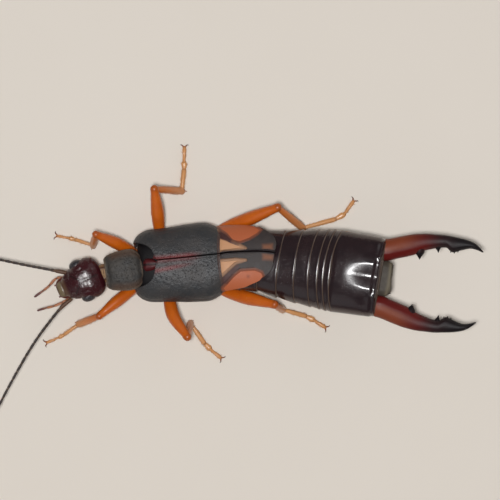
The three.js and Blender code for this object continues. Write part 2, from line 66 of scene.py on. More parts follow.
# Middle lines of the body, as (place along the body, value) keys. The lean is in degrees, top to the right.
# In each table below, half, top, bottom and rise set the cross-sections, and square fills out their corners.
# Without a bottom, a section is as deep below as it is high above.
FRONT_LINE = {
    "y": [(-5, -0.74), (-1.5, -0.25)],
    "z": [(-5, 1.91), (-1.5, 1.82)],
    "lean": [(-5, 0), (-1.5, 2)],
}
BODY_LINE = {
    "y": [(-3.2, -0.26), (-1.5, -0.2), (-0.5, -0.14), (2.4, 0.08), (3.7, 0.13), (4.7, 0.06), (5.7, -0.11),
          (8.9, -0.51), (12, -1)],
    "z": [(-3.2, 1.82), (2.5, 1.8), (5.5, 1.85), (8.5, 2.2), (12, 2.93)],
    "lean": [(-2.6, 3), (-1.4, 5), (0.6, 7), (2.3, 9), (3.7, 8), (5.4, 3), (7, 0)],
}

# The head, about its own middle and along its own axis.
HEAD = {
    "ends": (-1.32, 1.05),
    "middle": (-5.71, -1.12, 1.8),
    "ahead": (-0.92, -0.38, -0.06),
    "half": [(-1.32, 0.62), (-1.22, 0.86), (-0.98, 1.08), (-0.57, 1.2), (-0.29, 1.17), (0, 1.09),
             (0.29, 0.95), (0.57, 0.83), (0.8, 0.66), (1.05, 0.46)],
    "top": [(-1.32, 0.35), (-1.05, 0.6), (-0.5, 0.76), (0, 0.78), (0.5, 0.62), (1.05, 0.36)],
    "bottom": [(-1.32, 0.3), (-1.05, 0.55), (-0.5, 0.7), (0, 0.72), (0.5, 0.6), (1.05, 0.36)],
    "rise": 0.0,
    "square": 2.3,
}
EYE = {"along": -0.14, "across": 0.96, "up": 0.14, "long": 0.43, "wide": 0.3, "high": 0.36}
SOCKET = {"along": 0.6, "across": 0.6, "radius": 0.13}
LIP = {
    "ends": (0.9, 1.42),
    "half": [(0.9, 0.5), (1.15, 0.46), (1.34, 0.36), (1.42, 0.24)],
    "top": [(0.9, 0.26), (1.22, 0.2), (1.42, 0.08)],
    "rise": 0.06,
    "square": 2.8,
}
LIP_JOINT = 1.04
JAW = [(0.75, 0.42, -0.36), (1.05, 0.46, -0.38), (1.28, 0.34, -0.36), (1.4, 0.14, -0.34)]
JAW_RADIUS = [(0, 0.2), (0.6, 0.16), (1, 0.07)]

# Neck and the flesh under the shield, then the shield itself.
NECK_SKIN = {
    "ends": (-4.75, -2.4),
    "half": [(-4.75, 0.48), (-4.3, 0.54), (-3.9, 0.58), (-3.4, 0.71), (-2.8, 0.75), (-2.5, 0.62)],
    "top": [(-4.75, 0.38), (-4.2, 0.42), (-3.4, 0.44), (-2.5, 0.42)],
    "rise": [(-4.75, -0.22), (-4.3, -0.28), (-3.6, -0.5), (-2.5, -0.56)],
    "square": 2.4,
}
NECK_FOLD = 0.14
PRONOTUM = {
    "ends": (-4.28, -2.12),
    "half": [(-4.28, 0.8), (-4.1, 0.97), (-3.6, 1.1), (-3, 1.17), (-2.6, 1.13), (-2.3, 0.86), (-2.12, 0.3)],
    "top": [(-4.28, 0.4), (-3.9, 0.65), (-3.2, 0.75), (-2.5, 0.62), (-2.12, 0.35)],
    "bottom": 0.12,
    "rise": 0.23,
    "square": 2.6,
}

# Thorax, its back under the wing cases, near-black as painted shade where it shows in the notch, the red
# plate in the notch, and the wing cases.
THORAX = {
    "ends": (-2.4, 2.45),
    "half": [(-2.4, 0.7), (-2.25, 1), (-1.8, 1.5), (-0.5, 1.78), (0.8, 1.95), (1.3, 2.1), (1.9, 1.97),
             (2.2, 1.55), (2.45, 1.5)],
    "top": 0.47,
    "rise": -0.65,
    "square": 2.4,
}
BACK = {"ends": (-2.42, 2.2), "inside": 0.28, "lower_front": 0.3, "lower_rear": 0.5, "bottom": 0.6}
SCUTELLUM = {
    "ends": (-2.1, -1.2),
    "half": [(-2.1, 0.3), (-1.95, 0.43), (-1.6, 0.42), (-1.35, 0.25), (-1.2, 0.08)],
    "top": [(-2.1, 0.7), (-1.95, 0.9), (-1.4, 0.98), (-1.2, 0.9)],
    "bottom": 0.3,
    "rise": 0.0,
    "square": 3.0,
}
ELYTRA = {
    "ends": (-2.5, 2.29),
    "half": [(-2.5, 1.25), (-2.38, 1.52), (-2.15, 1.73), (-1.7, 1.89), (-0.6, 1.94), (0.4, 2.03),
             (1.4, 2.07), (2, 1.87), (2.29, 1.57)],
    "top": [(-2.5, 0.65), (-2.4, 0.8), (-2, 1.05), (-1.2, 1.2), (0, 1.23), (2.29, 1.15)],
    "bottom": 0.25,
    "rise": -0.1,
    "square": 2.4,
    "lowest": -40,
}
NOTCH_HALF = [(-2.63, 1.25), (-2.3, 1.22), (-1.9, 1.07), (-1.6, 0.84), (-1.45, 0.52), (-1.36, 0.1),
              (-1.24, -0.4)]

# How far to the right of the middle line the wing cases, and the wing tips behind them, meet.
SEAM = [(-2.5, 0.2), (2.3, 0.22), (2.54, 0.27), (3.7, 0.32), (4.5, 0.42), (5.35, 0.52)]

# Folded wing tips: outer half-width, sideways shift and height over the abdomen, then the outlines of their
# markings seen from above, and the place of one small spot on the left.
WING = {
    "ends": (2.02, 5.35),
    "half": [(2.2, 1.8), (3.7, 1.7), (4.46, 1.5), (4.9, 1.25), (5.2, 1), (5.35, 0.72)],
    "shift": [(2.2, 0.05), (3.7, 0.1), (4.5, 0.2), (5.3, 0.3)],
    "over": [(2.02, -0.1), (2.3, 0.06), (2.6, 0.12), (5.35, 0.12)],
}
LOBES = {
    "right": [(2.1, 1.95), (3.43, 2.1), (4.29, 1.95), (4.69, 1.71), (4.46, 1.49), (4, 1.23), (3.43, 1.03),
              (2.97, 1.11), (2.63, 1.49), (2.23, 1.77)],
    "left": [(2.4, -1.4), (2.69, -1.09), (3.03, -0.74), (3.43, -0.43), (4.29, -0.37), (4.74, -0.54),
             (4.86, -0.8), (4.57, -1.09), (4, -1.31), (3.43, -1.6), (2.7, -1.75)],
}
PALE_CORNERS = {
    "right": [(2.1, 1.75), (2.2, 1.23), (2.3, 0.54), (2.74, 0.6), (3.77, 0.74), (3.43, 0.91), (2.86, 1.14),
              (2.4, 1.5)],
    "left": [(2.29, 0.06), (2.34, -0.86), (2.74, -0.46), (3.2, -0.09), (3.77, 0.09), (3.14, 0.14)],
}
OBLIQUE_BARS = {
    "right": [(2.11, 1.69), (2.29, 1.26), (2.97, 1), (3.37, 0.94), (2.97, 1.11), (2.63, 1.46)],
    "left": [(2.34, -1.2), (2.4, -0.89), (2.86, -0.43), (3.26, -0.14), (3.43, -0.23), (3.09, -0.63),
             (2.63, -1.14)],
}
TIP_SPOTS = {
    "right": [(4.75, 0.93), (5.3, 0.96), (5.3, 0.7), (4.75, 0.69)],
    "left": [(4.75, 0.45), (5.34, 0.36), (5.34, 0.1), (4.75, 0.12)],
}
LEFT_DOT = (3.9, -0.8)

# Abdomen: the hind edge of each plate on the back, and how far each edge bows back at the sides.
ABDOMEN = {
    "half": [(2.5, 1.7), (3.7, 1.78), (4.7, 1.8), (5.7, 1.94), (6.86, 2.13), (8, 2.27), (8.86, 2.36),
             (9.7, 2.34), (11.1, 2.29), (11.35, 2.2)],
    "top": [(2.5, 0.85), (4.5, 0.88), (5.6, 1), (7, 1.15), (8.7, 1.2), (9.7, 1.25), (11.1, 1.1),
            (11.35, 0.98)],
    "bottom": [(2.5, 0.9), (6, 1.1), (8, 1.2), (9.7, 1.2), (11.2, 0.95)],
    "rise": 0.0,
    "square": 2.3,
    "bow": [(2.5, 0), (5.66, 0.15), (7.5, 0.22), (8.74, 0.3)],
}
TERGITE_ENDS = [2.3, 3.4, 4.5, 5.66, 6.69, 7.54, 8.06, 8.4, 8.76]
LAST_TERGITE = (8.82, 11.5)
TUBERCLES = [(-2, 0.14), (-1.15, 0.15), (1.15, 0.15), (2, 0.14)]
PYGIDIUM = {
    "ends": (11.2, 12.08),
    "half": [(11.2, 1.05), (11.6, 1.04), (11.85, 0.96), (12.02, 0.8), (12.08, 0.55)],
    "top": [(11.2, 0.42), (11.7, 0.36), (12, 0.26), (12.08, 0.12)],
    "rise": -0.3,
    "square": 2.6,
}

# One arm of the forceps, with the edges of its blade and its teeth.
FORCEPS = {
    "base": (11.57, -0.93, 2.66),
    "yaw": -6,
    "long": 5.57,
    "inner": [(-0.35, 1), (0, 1), (0.8, 1.23), (1.6, 1.49), (2.4, 1.86), (3.43, 2.07), (3.66, 1.91),
              (3.83, 1.83), (4.29, 1.97), (4.86, 2.11), (5.26, 2.03), (5.57, 1.9)],
    "outer": [(-0.35, 2.2), (0, 2.26), (0.8, 2.49), (1.6, 2.69), (2.4, 2.78), (3.14, 2.78), (3.83, 2.71),
              (4.4, 2.63), (4.97, 2.46), (5.31, 2.23), (5.57, 2)],
    "small_teeth": (3.72, 3.92, 4.12),
    "square": 2.2,
    "high": [(-0.35, 0.5), (0, 0.55), (1.2, 0.45), (2.4, 0.36), (3.8, 0.3), (4.9, 0.23), (5.57, 0.05)],
    "right": {"opening": 0.13, "teeth": [(1.95, 1.3, 0.42), (2.97, 1.8, 0.3)]},
    "left": {"opening": 0.0, "teeth": [(1.8, 1.31, 0.42), (3.36, 1.79, 0.3)]},
}

# Feelers and palps run through these places. The short palps under the lip are in the head's own places.
ANTENNAE = {
    "right": [(-6.3, -0.66, 1.95), (-7.1, -0.51, 2), (-8.6, -0.23, 1.95), (-11.5, 0.36, 1.8), (-15, 1, 1.75),
              (-18.86, 1.6, 1.9)],
    "left": [(-6.2, -2.1, 1.9), (-6.7, -2.5, 1.95), (-7.5, -3.45, 1.9), (-8.4, -4.69, 1.8),
             (-9.5, -6.55, 1.7), (-11, -9.4, 1.7), (-12.86, -12.8, 1.9)],
}
PALPS = {
    "right": [(-6.5, -0.88, 1.15), (-7.05, -0.93, 1.1), (-7.65, -1.47, 1), (-8.4, -2.02, 0.9)],
    "left": [(-6.3, -2.1, 1.15), (-7.31, -2.55, 1.1), (-7.77, -2.66, 1), (-8.23, -2.8, 0.9)],
}
LOWER_PALP = [(0.7, 0.2, -0.45), (1.15, 0.3, -0.6), (1.55, 0.36, -0.62)]
PALP_JOINTS = [0.4, 0.35, 0.75, 0.6, 0.8]
LOWER_PALP_JOINTS = [0.3, 0.3, 0.4]
FEELER_ROOT_JOINTS = [0.95, 0.22, 0.5]
FEELER_TAPER = [(0, 1.7), (0.055, 1.6), (0.09, 1.15), (0.5, 1), (1, 0.6)]
PALP_TAPER = [(0, 1.5), (0.4, 1.2), (1, 1)]
LOWER_PALP_TAPER = [(0, 1), (1, 0.8)]

# Each leg as its root, hip, knee, ankle and toes. The last toe place is the point between the claws.
LEGS = {
    "front_right": ((-3, 0.1, 1.1), (-2.7, 0.6, 1), (-4.8, 1.57, 2.3), (-5.05, 0.95, 0.32),
                    ((-6.06, 1.28), (-6.4, 1.36), (-7.12, 1.5))),
    "front_left": ((-2.9, -0.9, 1.1), (-2.5, -1.4, 1), (-4.63, -3.09, 1.9), (-5.86, -3.58, 0.32),
                   ((-6.7, -4.18), (-7, -4.36), (-7.71, -4.65))),
    "middle_right": ((-1, 0.9, 1.1), (-1.2, 1.6, 0.95), (-1.47, 4.17, 2.4), (0.06, 4.08, 0.32),
                     ((0.2, 5.3), (0.2, 5.75), (0.21, 6.6))),
    "middle_left": ((-0.7, -1, 1.1), (-0.75, -1.6, 0.95), (0.42, -4.28, 2.6), (0.56, -3.55, 0.32),
                    ((1.37, -4.69), (1.7, -5.03), (2.31, -5.54))),
    "rear_right": ((1.5, 1.2, 1.1), (2.45, 1.95, 0.9), (5.58, 3.12, 2.4), (7.05, 1.95, 0.36),
                   ((8.91, 2.46), (9.43, 2.74), (9.97, 3.5))),
    "rear_left": ((1.5, -1.1, 1.1), (2.4, -1.65, 0.9), (5.4, -2.43, 2.7), (5.89, -2.75, 0.55),
                  ((7.2, -3.12), (7.66, -3.35), (8.34, -3.78))),
}

# The femur of one leg bows through this place. The middle and rear legs are stouter than the front ones.
BOWED = {"middle_left": (-0.45, -2.94, 1.85)}
STOUTNESS = {"front": (0.92, 0.85), "middle": (1, 1.2), "rear": (1.04, 1.2)}
TOE_HEIGHTS = (0.13, 0.12, 0.13)
CLAW_HOOK = [(0, 0, 0), (0.09, 0.07, 0.03), (0.15, 0.15, -0.01), (0.14, 0.22, -0.08)]

# The radius of each part of a leg along it, how pale it is, and its share of the leg's bristles.
LEG_RADIUS = {
    "coxa": [(0, 0.36), (0.7, 0.33), (1, 0.24)],
    "trochanter": [(0, 0.22), (1, 0.25)],
    "femur": [(0, 0.26), (0.2, 0.34), (0.47, 0.38), (0.8, 0.29), (0.94, 0.24), (1, 0.24)],
    "tibia": [(0, 0.2), (0.08, 0.17), (0.3, 0.2), (0.7, 0.22), (1, 0.21)],
    "spur": [(0, 0.04), (1, 0.008)],
    "first": [(0, 0.08), (0.15, 0.09), (0.8, 0.115), (1, 0.11)],
    "second": [(0, 0.07), (0.5, 0.11), (0.85, 0.125), (1, 0.1)],
    "third": [(0, 0.06), (0.3, 0.07), (0.85, 0.095), (1, 0.075)],
    "claw": [(0, 0.045), (0.5, 0.032), (1, 0.01)],
}
PALE_SHARE = {"coxa": 0.25, "trochanter": 0.1, "first": 0.9, "second": 0.95, "third": 0.85}
BRISTLE_SHARE = {"femur": 0.14, "tibia": 0.3, "first": 0.28, "second": 0.12, "third": 0.16}
BRISTLE = {"length": 0.15, "radius": 0.007, "lean": 0.6, "strips": 14, "first_seed": 40}

# The stage, in metres: the floor's half-width and drop, each light's place from the middle of the view with
# its width and power, and the width of the view at the height of the animal's back.
FLOOR_REACH = 1.5
FLOOR_ROWS = 40
FLOOR_DROP = 1e-5
LIGHTS = {
    "flash": ((-0.01, -0.008, 0.24), 0.03, 0.42),
    "left_box": ((-0.2, -0.3, 0.22), 0.3, 0.08),
    "right_box": ((0.25, 0.3, 0.22), 0.3, 0.12),
}
VIEW_MIDDLE = (4.0, 0.686, 0)
VIEW_WIDTH = 0.02857
BACK_HEIGHT = 0.0025
SENSOR = 36


# Curves and sections.

def unit(vectors):
    """The vectors at length 1."""
    return vectors / np.linalg.norm(vectors, axis=-1, keepdims=True)


def ramp(value, low, high):
    """0 below low and 1 above high, with a smooth step between them."""
    share = np.clip((value - low) / (high - low), 0, 1)
    return share * share * (3 - 2 * share)


def hump(value, middle, width):
    """A smooth hump of height 1 about a middle."""
    return np.exp(-((value - middle) / width) ** 2)


def curve_through(keys):
    """A smooth value through (place, value) keys, level beyond the first and last of them."""
    places, values = np.array(keys, float).T
    rises = np.diff(values) / np.diff(places)
    slopes = np.concatenate([rises[:1], np.zeros(len(rises) - 1), rises[-1:]])
    before, after = rises[:-1], rises[1:]
    total = np.where(before + after == 0, 1, before + after)
    slopes[1:-1] = np.where(before * after > 0, 2 * before * after / total, 0)

    def value(place):
        place = np.clip(place, places[0], places[-1])
        i = np.clip(np.searchsorted(places, place, side="right") - 1, 0, len(rises) - 1)
        span = places[i + 1] - places[i]
        t = (place - places[i]) / span
        ends = (1 - t) ** 2 * (1 + 2 * t) * values[i] + t ** 2 * (3 - 2 * t) * values[i + 1]
        return ends + span * t * (1 - t) * ((1 - t) * slopes[i] - t * slopes[i + 1])

    return value


def places_on(line):
    """Gives the middle, the left and the top of the cross-section at each place along a middle line."""
    y, z, lean = (curve_through(line[key]) for key in ("y", "z", "lean"))

    def place(along):
        along = np.asarray(along, float)
        middle = np.stack([along, y(along), z(along)], -1)
        onward = along + 0.01
        ahead = unit(np.stack([onward, y(onward), z(onward)], -1) - middle)
        across = unit(np.cross(ahead, UP))
        up = np.cross(across, ahead)
        turn = -np.radians(lean(along))[..., None]
        return (middle, across * np.cos(turn) + np.cross(ahead, across) * np.sin(turn),
                up * np.cos(turn) + np.cross(ahead, up) * np.sin(turn))

    return place


def head_place(along):
    """The same for the head, forwards from its middle. Across is to the right."""
    ahead = unit(np.array(HEAD["ahead"]))
    across = unit(np.cross(ahead, UP))
    along = np.asarray(along, float)
    middle = np.array(HEAD["middle"]) + along[..., None] * ahead
    return middle, across, np.cross(across, ahead)


front_place = places_on(FRONT_LINE)
body_place = places_on(BODY_LINE)


def at(place, along, across, up):
    """The point or points at a place along, across and up from a middle line."""
    middle, sideways, upwards = place(along)
    return middle + np.asarray(across)[..., None] * sideways + np.asarray(up)[..., None] * upwards


def bulge(value, square):
    """A sine or cosine filled out towards the corners of a rounded square."""
    return np.sign(value) * np.abs(value) ** (2 / square)


def section(place, along, angle, half, top, bottom, rise, square):
    """Points on rounded cross-sections. A square of 2 gives an ellipse, and more fills out its corners."""
    height = np.where(np.sin(angle) > 0, top, bottom) * bulge(np.sin(angle), square)
    return at(place, along, half * bulge(np.cos(angle), square), rise + height)


def read(table, along, *keys):
    """A table's values at places along the body, each from a curve through its keys or from one number."""
    return [curve_through(table[key])(along) if isinstance(table[key], list) else table[key] for key in keys]


def sections(place, table, along, angle):
    """Points on the cross-sections that a table describes."""
    lower = "bottom" if "bottom" in table else "top"
    return section(place, along, angle, *read(table, along, "half", "top", lower, "rise", "square"))


def whole(place, table, rows, columns):
    """A table's whole shape, with the places along it, the angles round it and its half-widths."""
    along, angle = closing(*table["ends"], rows), around(columns)
    return sections(place, table, along, angle), along, angle, *read(table, along, "half")


def around(count):
    """Angles round a section, as a row."""
    return np.linspace(0, 2 * np.pi, count, endpoint=False)[None, :]


def closing(low, high, count):
    """Places that draw together towards both ends, as a column."""
    return (low + (high - low) * (1 - np.cos(np.linspace(0, np.pi, count))) / 2)[:, None]


def raised(points, amount, closed=True):
    """A grid of points moved outwards along its own surface by an amount at each point."""
    along = np.gradient(points, axis=0)
    if closed:
        around_it = np.roll(points, -1, 1) - np.roll(points, 1, 1)
    else:
        around_it = np.gradient(points, axis=1)
    return points + unit(np.cross(along, around_it) + 1e-12) * amount[..., None]


def smooth_path(points, count):
    """Evenly spaced points on a smooth curve through a few places."""
    points = np.array(points, float)
    reach = np.concatenate([[0], np.cumsum(np.linalg.norm(np.diff(points, axis=0), axis=1))])
    fine = np.linspace(0, reach[-1], 400)
    path = np.stack([curve_through(list(zip(reach, points[:, i])))(fine) for i in range(3)], -1)
    run = np.concatenate([[0], np.cumsum(np.linalg.norm(np.diff(path, axis=0), axis=1))])
    even = np.linspace(0, run[-1], count) if np.isscalar(count) else np.asarray(count) * run[-1]
    return np.stack([np.interp(even, run, path[:, i]) for i in range(3)], -1)


def limb(points, radius, sides, rows, flat=1.0, wide=1.0):
    """A rounded limb through points with a dome about each end, and the share of its length at each row."""
    shares = np.linspace(0, 1, rows)
    path = smooth_path(points, shares)
    thick = curve_through(radius)(shares)
    ahead = unit(np.gradient(path, axis=0))
    angles = np.radians(DOME)
    start = [path[0] - ahead[0] * thick[0] * c for c in np.cos(angles)]
    end = [path[-1] + ahead[-1] * thick[-1] * c for c in np.cos(angles[::-1])]
    path = np.concatenate([start, path, end])
    thick = np.concatenate([thick[0] * np.sin(angles), thick, thick[-1] * np.sin(angles[::-1])])
    shares = np.concatenate([np.zeros(len(DOME)), shares, np.ones(len(DOME))])
    ahead = np.concatenate([[ahead[0]] * len(DOME), ahead, [ahead[-1]] * len(DOME)])
    run = unit(path[-1] - path[0])
    reference = np.array([1.0, 0, 0]) if abs(run[2]) > 0.8 else UP
    across = unit(np.cross(ahead, reference))
    up = np.cross(across, ahead)
    angle = around(sides)[..., None]
    ring = across[:, None] * np.cos(angle) * wide + up[:, None] * np.sin(angle) * flat
    return path[:, None] + ring * thick[:, None, None], shares[:, None]


def patch(points, outline, soft):
    """1 inside an outline drawn over points seen from above, 0 outside, with a soft edge."""
    start = np.array(outline, float)
    edge = np.roll(start, -1, 0) - start
    away = points[..., None, :2] - start
    share = np.clip((away * edge).sum(-1) / (edge ** 2).sum(-1), 0, 1)
    distance = np.linalg.norm(away - share[..., None] * edge, axis=-1).min(-1)
    y = points[..., None, 1]
    low, high = start[:, 1], start[:, 1] + edge[:, 1]
    slope = edge[:, 0] / np.where(edge[:, 1] == 0, 1e-9, edge[:, 1])
    crossed = ((low > y) != (high > y)) & (points[..., None, 0] < start[:, 0] + (y - low) * slope)
    inside = crossed.sum(-1) % 2 == 1
    return ramp(np.where(inside, distance, -distance), -soft, soft)


# The frame's origin is under the middle of the animal. An eye, the same in both layouts, gives the shift.
eye_low, eye_high = (np.array(corner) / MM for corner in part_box("eye_right"))
SHIFT = (eye_low + eye_high) / 2 - at(head_place, EYE["along"], EYE["across"], EYE["up"])
SHIFT[2] = 0


def mesh_of(name, points, faces):
    """A mesh from points in millimetres in the frame's own layout."""
    mesh = bpy.data.meshes.new(name)
    mesh.from_pydata(((points + SHIFT) * MM).tolist(), [], faces)
    return mesh


def placed(name, data):
    """A new object in the scene."""
    made = bpy.data.objects.new(name, data)
    bpy.context.scene.collection.objects.link(made)
    return made


def part_of_body(name, mesh):
    """A piece of the animal, which rides on its one body."""
    piece = placed(name, mesh)
    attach(piece, "root")
    return piece


class Shell:
    """Grids of points gathered into one mesh, with masks for its finish."""

    def __init__(self):
        self.points, self.faces, self.finishes, self.masks, self.count = [], [], [], [], 0

    def take(self, points, faces, finish, masks):
        """Gathers points, their faces and the values of their masks, and gives the shell back."""
        self.points.append(points)
        self.faces += faces
        self.finishes += [finish] * len(faces)
        self.masks.append((len(points), masks))
        self.count += len(points)
        return self

    def add(self, grid, finish=0, **masks):
        """Adds a grid of points round closed sections, with a cap at each end."""
        rows, columns = grid.shape[:2]
        before = self.count + np.arange(rows * columns).reshape(rows, columns)
        after = np.roll(before, -1, 1)
        faces = np.stack([before[:-1], after[:-1], after[1:], before[1:]], -1).reshape(-1, 4).tolist()
        points = [grid.reshape(-1, 3)]
        values = {key: [np.broadcast_to(mask, (rows, columns)).ravel()] for key, mask in masks.items()}
        for row in (0, -1):
            hub = self.count + sum(map(len, points))
            points.append(grid[row].mean(0)[None])
            faces += np.stack([before[row], after[row], np.full(columns, hub)], -1).tolist()
            for parts in values.values():
                parts.append([parts[0].reshape(rows, columns)[row].mean()])
        joined = {key: np.concatenate(parts) for key, parts in values.items()}
        return self.take(np.concatenate(points), faces, finish, joined)

    def add_plate(self, top, thickness, **masks):
        """Adds a plate of even thickness below an open grid, closed round its edges."""
        rows, columns = top.shape[:2]
        under = raised(top, np.broadcast_to(-thickness, (rows, columns)), closed=False)
        upper = self.count + np.arange(rows * columns).reshape(rows, columns)
        lower = upper + rows * columns
        faces = []
        for grid in (upper, lower):
            corners = [grid[:-1, :-1], grid[:-1, 1:], grid[1:, 1:], grid[1:, :-1]]
            faces += np.stack(corners, -1).reshape(-1, 4).tolist()
        rim = [np.concatenate([g[0, :-1], g[:-1, -1], g[-1, :0:-1], g[:0:-1, 0]]) for g in (upper, lower)]
        faces += np.stack([rim[0], np.roll(rim[0], -1), np.roll(rim[1], -1), rim[1]], -1).tolist()
        points = np.concatenate([top.reshape(-1, 3), under.reshape(-1, 3)])
        both = {key: np.tile(np.broadcast_to(mask, top.shape[:2]).ravel(), 2) for key, mask in masks.items()}
        return self.take(points, faces, 0, both)

    def make(self, name, slot, finishes, nodes):
        """Makes the piece, gives it its finishes, and says what it rides on and stands for."""
        mesh = mesh_of(name, np.concatenate(self.points), self.faces)
        for key in sorted({key for _, masks in self.masks for key in masks}):
            values = np.concatenate([masks.get(key, np.zeros(count)) for count, masks in self.masks])
            mesh.attributes.new(key, "FLOAT", "POINT").data.foreach_set("value", values.astype(np.float32))
        for finish in finishes:
            mesh.materials.append(finish)
        mesh.polygons.foreach_set("material_index", self.finishes)
        solid = bmesh.new()
        solid.from_mesh(mesh)
        bmesh.ops.recalc_face_normals(solid, faces=solid.faces)
        solid.to_mesh(mesh)
        solid.free()
        mesh.polygons.foreach_set("use_smooth", [True] * len(mesh.polygons))
        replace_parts(part_of_body(name, mesh), *nodes)


# Finishes.

def linear(colour):
    """An RGB colour of 0 to 255 as the shader reads it."""
    share = np.array(colour, float) / 255
    value = np.where(share <= 0.04045, share / 12.92, ((share + 0.055) / 1.055) ** 2.4)
    return (*value.tolist(), 1.0)


def node(tree, kind, inputs=None, **settings):
    """A shader node with its settings. An input is a value, or the socket that feeds it."""
    made = tree.nodes.new(kind)
    for key, value in settings.items():
        setattr(made, key, value)
    for key, value in (inputs or {}).items():
        if isinstance(value, bpy.types.NodeSocket):
            tree.links.new(value, made.inputs[key])
        else:
            made.inputs[key].default_value = value
    return made


def maths(tree, operation, *values, **settings):
    """The result of a math node on values or sockets."""
    return node(tree, "ShaderNodeMath", dict(enumerate(values)), operation=operation, **settings).outputs[0]


def group_tree(name, inputs, outputs):
    """An empty shader node group with its sockets, and its input and output nodes."""
    tree = bpy.data.node_groups.new(name, "ShaderNodeTree")
    for socket, kind, default in inputs:
        made = tree.interface.new_socket(socket, in_out="INPUT", socket_type=kind)
        made.default_value = default
    for socket, kind in outputs:
        tree.interface.new_socket(socket, in_out="OUTPUT", socket_type=kind)
    return tree, tree.nodes.new("NodeGroupInput"), tree.nodes.new("NodeGroupOutput")


def place_in_mm(tree):
    """The place on the piece in millimetres."""
    place = node(tree, "ShaderNodeTexCoord")
    return node(tree, "ShaderNodeVectorMath", {0: place.outputs["Object"], "Scale": 1000.0},
                operation="SCALE").outputs["Vector"]


def cuticle_relief():
    """Group: the height of a fine grain and of scattered pits."""
    tree, given, out = group_tree("cuticle_relief", [
        ("Grain per mm", "NodeSocketFloat", 20.0), ("Grain Height", "NodeSocketFloat", 0.3),
        ("Pits per mm", "NodeSocketFloat", 8.0), ("Pit Depth", "NodeSocketFloat", 0.0),
        ("Pit Size", "NodeSocketFloat", 0.3)], [("Height", "NodeSocketFloat")])
    place = place_in_mm(tree)
    grain = node(tree, "ShaderNodeTexNoise", {"Vector": place, "Scale": given.outputs["Grain per mm"],
                                              "Detail": 3.0, "Roughness": 0.6})
    cells = node(tree, "ShaderNodeTexVoronoi", {"Vector": place, "Scale": given.outputs["Pits per mm"]})
    pits = node(tree, "ShaderNodeMapRange", {
        "Value": cells.outputs["Distance"], "From Min": 0.0, "From Max": given.outputs["Pit Size"],
        "To Min": 1.0, "To Max": 0.0}, interpolation_type="SMOOTHSTEP")
    raised_grain = maths(tree, "MULTIPLY", grain.outputs["Fac"], given.outputs["Grain Height"])
    sunk = maths(tree, "MULTIPLY", pits.outputs["Result"], given.outputs["Pit Depth"])
    tree.links.new(maths(tree, "SUBTRACT", raised_grain, sunk), out.inputs["Height"])
    return tree


def cuticle_mottle():
    """Group: a colour clouded with a second one, and a roughness that varies with the clouds."""
    tree, given, out = group_tree("cuticle_mottle", [
        ("Color", "NodeSocketColor", (0.5, 0.5, 0.5, 1)),
        ("Cloud Color", "NodeSocketColor", (0.2, 0.2, 0.2, 1)), ("Amount", "NodeSocketFloat", 0.3),
        ("Clouds per mm", "NodeSocketFloat", 1.5), ("Roughness", "NodeSocketFloat", 0.4)],
        [("Color", "NodeSocketColor"), ("Roughness", "NodeSocketFloat")])
    place = place_in_mm(tree)
    clouds = node(tree, "ShaderNodeTexNoise", {"Vector": place, "Scale": given.outputs["Clouds per mm"],
                                               "Detail": 5.0, "Roughness": 0.65})
    share = node(tree, "ShaderNodeMapRange", {
        "Value": clouds.outputs["Fac"], "From Min": 0.35, "From Max": 0.75,
        "To Min": 0.0, "To Max": given.outputs["Amount"]})
    mixed = node(tree, "ShaderNodeMix", {0: share.outputs["Result"], 6: given.outputs["Color"],
                                         7: given.outputs["Cloud Color"]}, data_type="RGBA")
    shift = maths(tree, "ADD", clouds.outputs["Fac"], -0.5)
    spread = maths(tree, "MULTIPLY_ADD", shift, 0.3, given.outputs["Roughness"], use_clamp=True)
    tree.links.new(mixed.outputs[2], out.inputs["Color"])
    tree.links.new(spread, out.inputs["Roughness"])
    return tree


def group_of(name, build):
    """The node group of a name, built when it is first asked for."""
    return bpy.data.node_groups.get(name) or build()


def finish(name, colour, cloud, tints=(), amount=0.3, clouds=1.5, roughness=0.4, grain=(20, 0.3),
           pits=(8, 0.0, 0.3), bump=0.02, coat=0.0, specular=0.5):
    """A finish of clouded colour, tinted through the piece's masks, over a grained and pitted surface."""
    material = bpy.data.materials.new(name)
    material.use_nodes = True
    tree = material.node_tree
    tree.nodes.clear()
    base = node(tree, "ShaderNodeGroup", node_tree=group_of("cuticle_mottle", cuticle_mottle))
    for key, value in (("Color", linear(colour)), ("Cloud Color", linear(cloud)), ("Amount", amount),
                       ("Clouds per mm", clouds), ("Roughness", roughness)):
        base.inputs[key].default_value = value
    shade = base.outputs["Color"]
    for mask, tint in tints:
        share = node(tree, "ShaderNodeAttribute", attribute_name=mask)
        shade = node(tree, "ShaderNodeMix", {0: share.outputs["Fac"], 6: shade, 7: linear(tint)},
                     data_type="RGBA").outputs[2]
    relief = node(tree, "ShaderNodeGroup", node_tree=group_of("cuticle_relief", cuticle_relief))
    for key, value in (("Grain per mm", grain[0]), ("Grain Height", grain[1]), ("Pits per mm", pits[0]),
                       ("Pit Depth", pits[1]), ("Pit Size", pits[2])):
        relief.inputs[key].default_value = value
    bumped = node(tree, "ShaderNodeBump", {"Height": relief.outputs["Height"], "Strength": 1.0,
                                           "Distance": bump * MM})
    shader = node(tree, "ShaderNodeBsdfPrincipled", {
        "Base Color": shade, "Roughness": base.outputs["Roughness"], "Normal": bumped.outputs["Normal"],
        "Coat Weight": coat, "Coat Roughness": 0.12, "Specular IOR Level": specular})
    node(tree, "ShaderNodeOutputMaterial", {"Surface": shader.outputs["BSDF"]})
    return material


# The colours and sizes that a user would change.

def colour_property(name, text, value):
    """A colour of 0 to 255 that a user can change."""
    return FloatVectorProperty(name=name, description=text, subtype="COLOR", size=3, min=0, max=255,
                               default=value)


def length_property(name, text, value, low, high):
    """A length in millimetres that a user can change."""
    return FloatProperty(name=name, description=text, default=value, min=low, max=high)


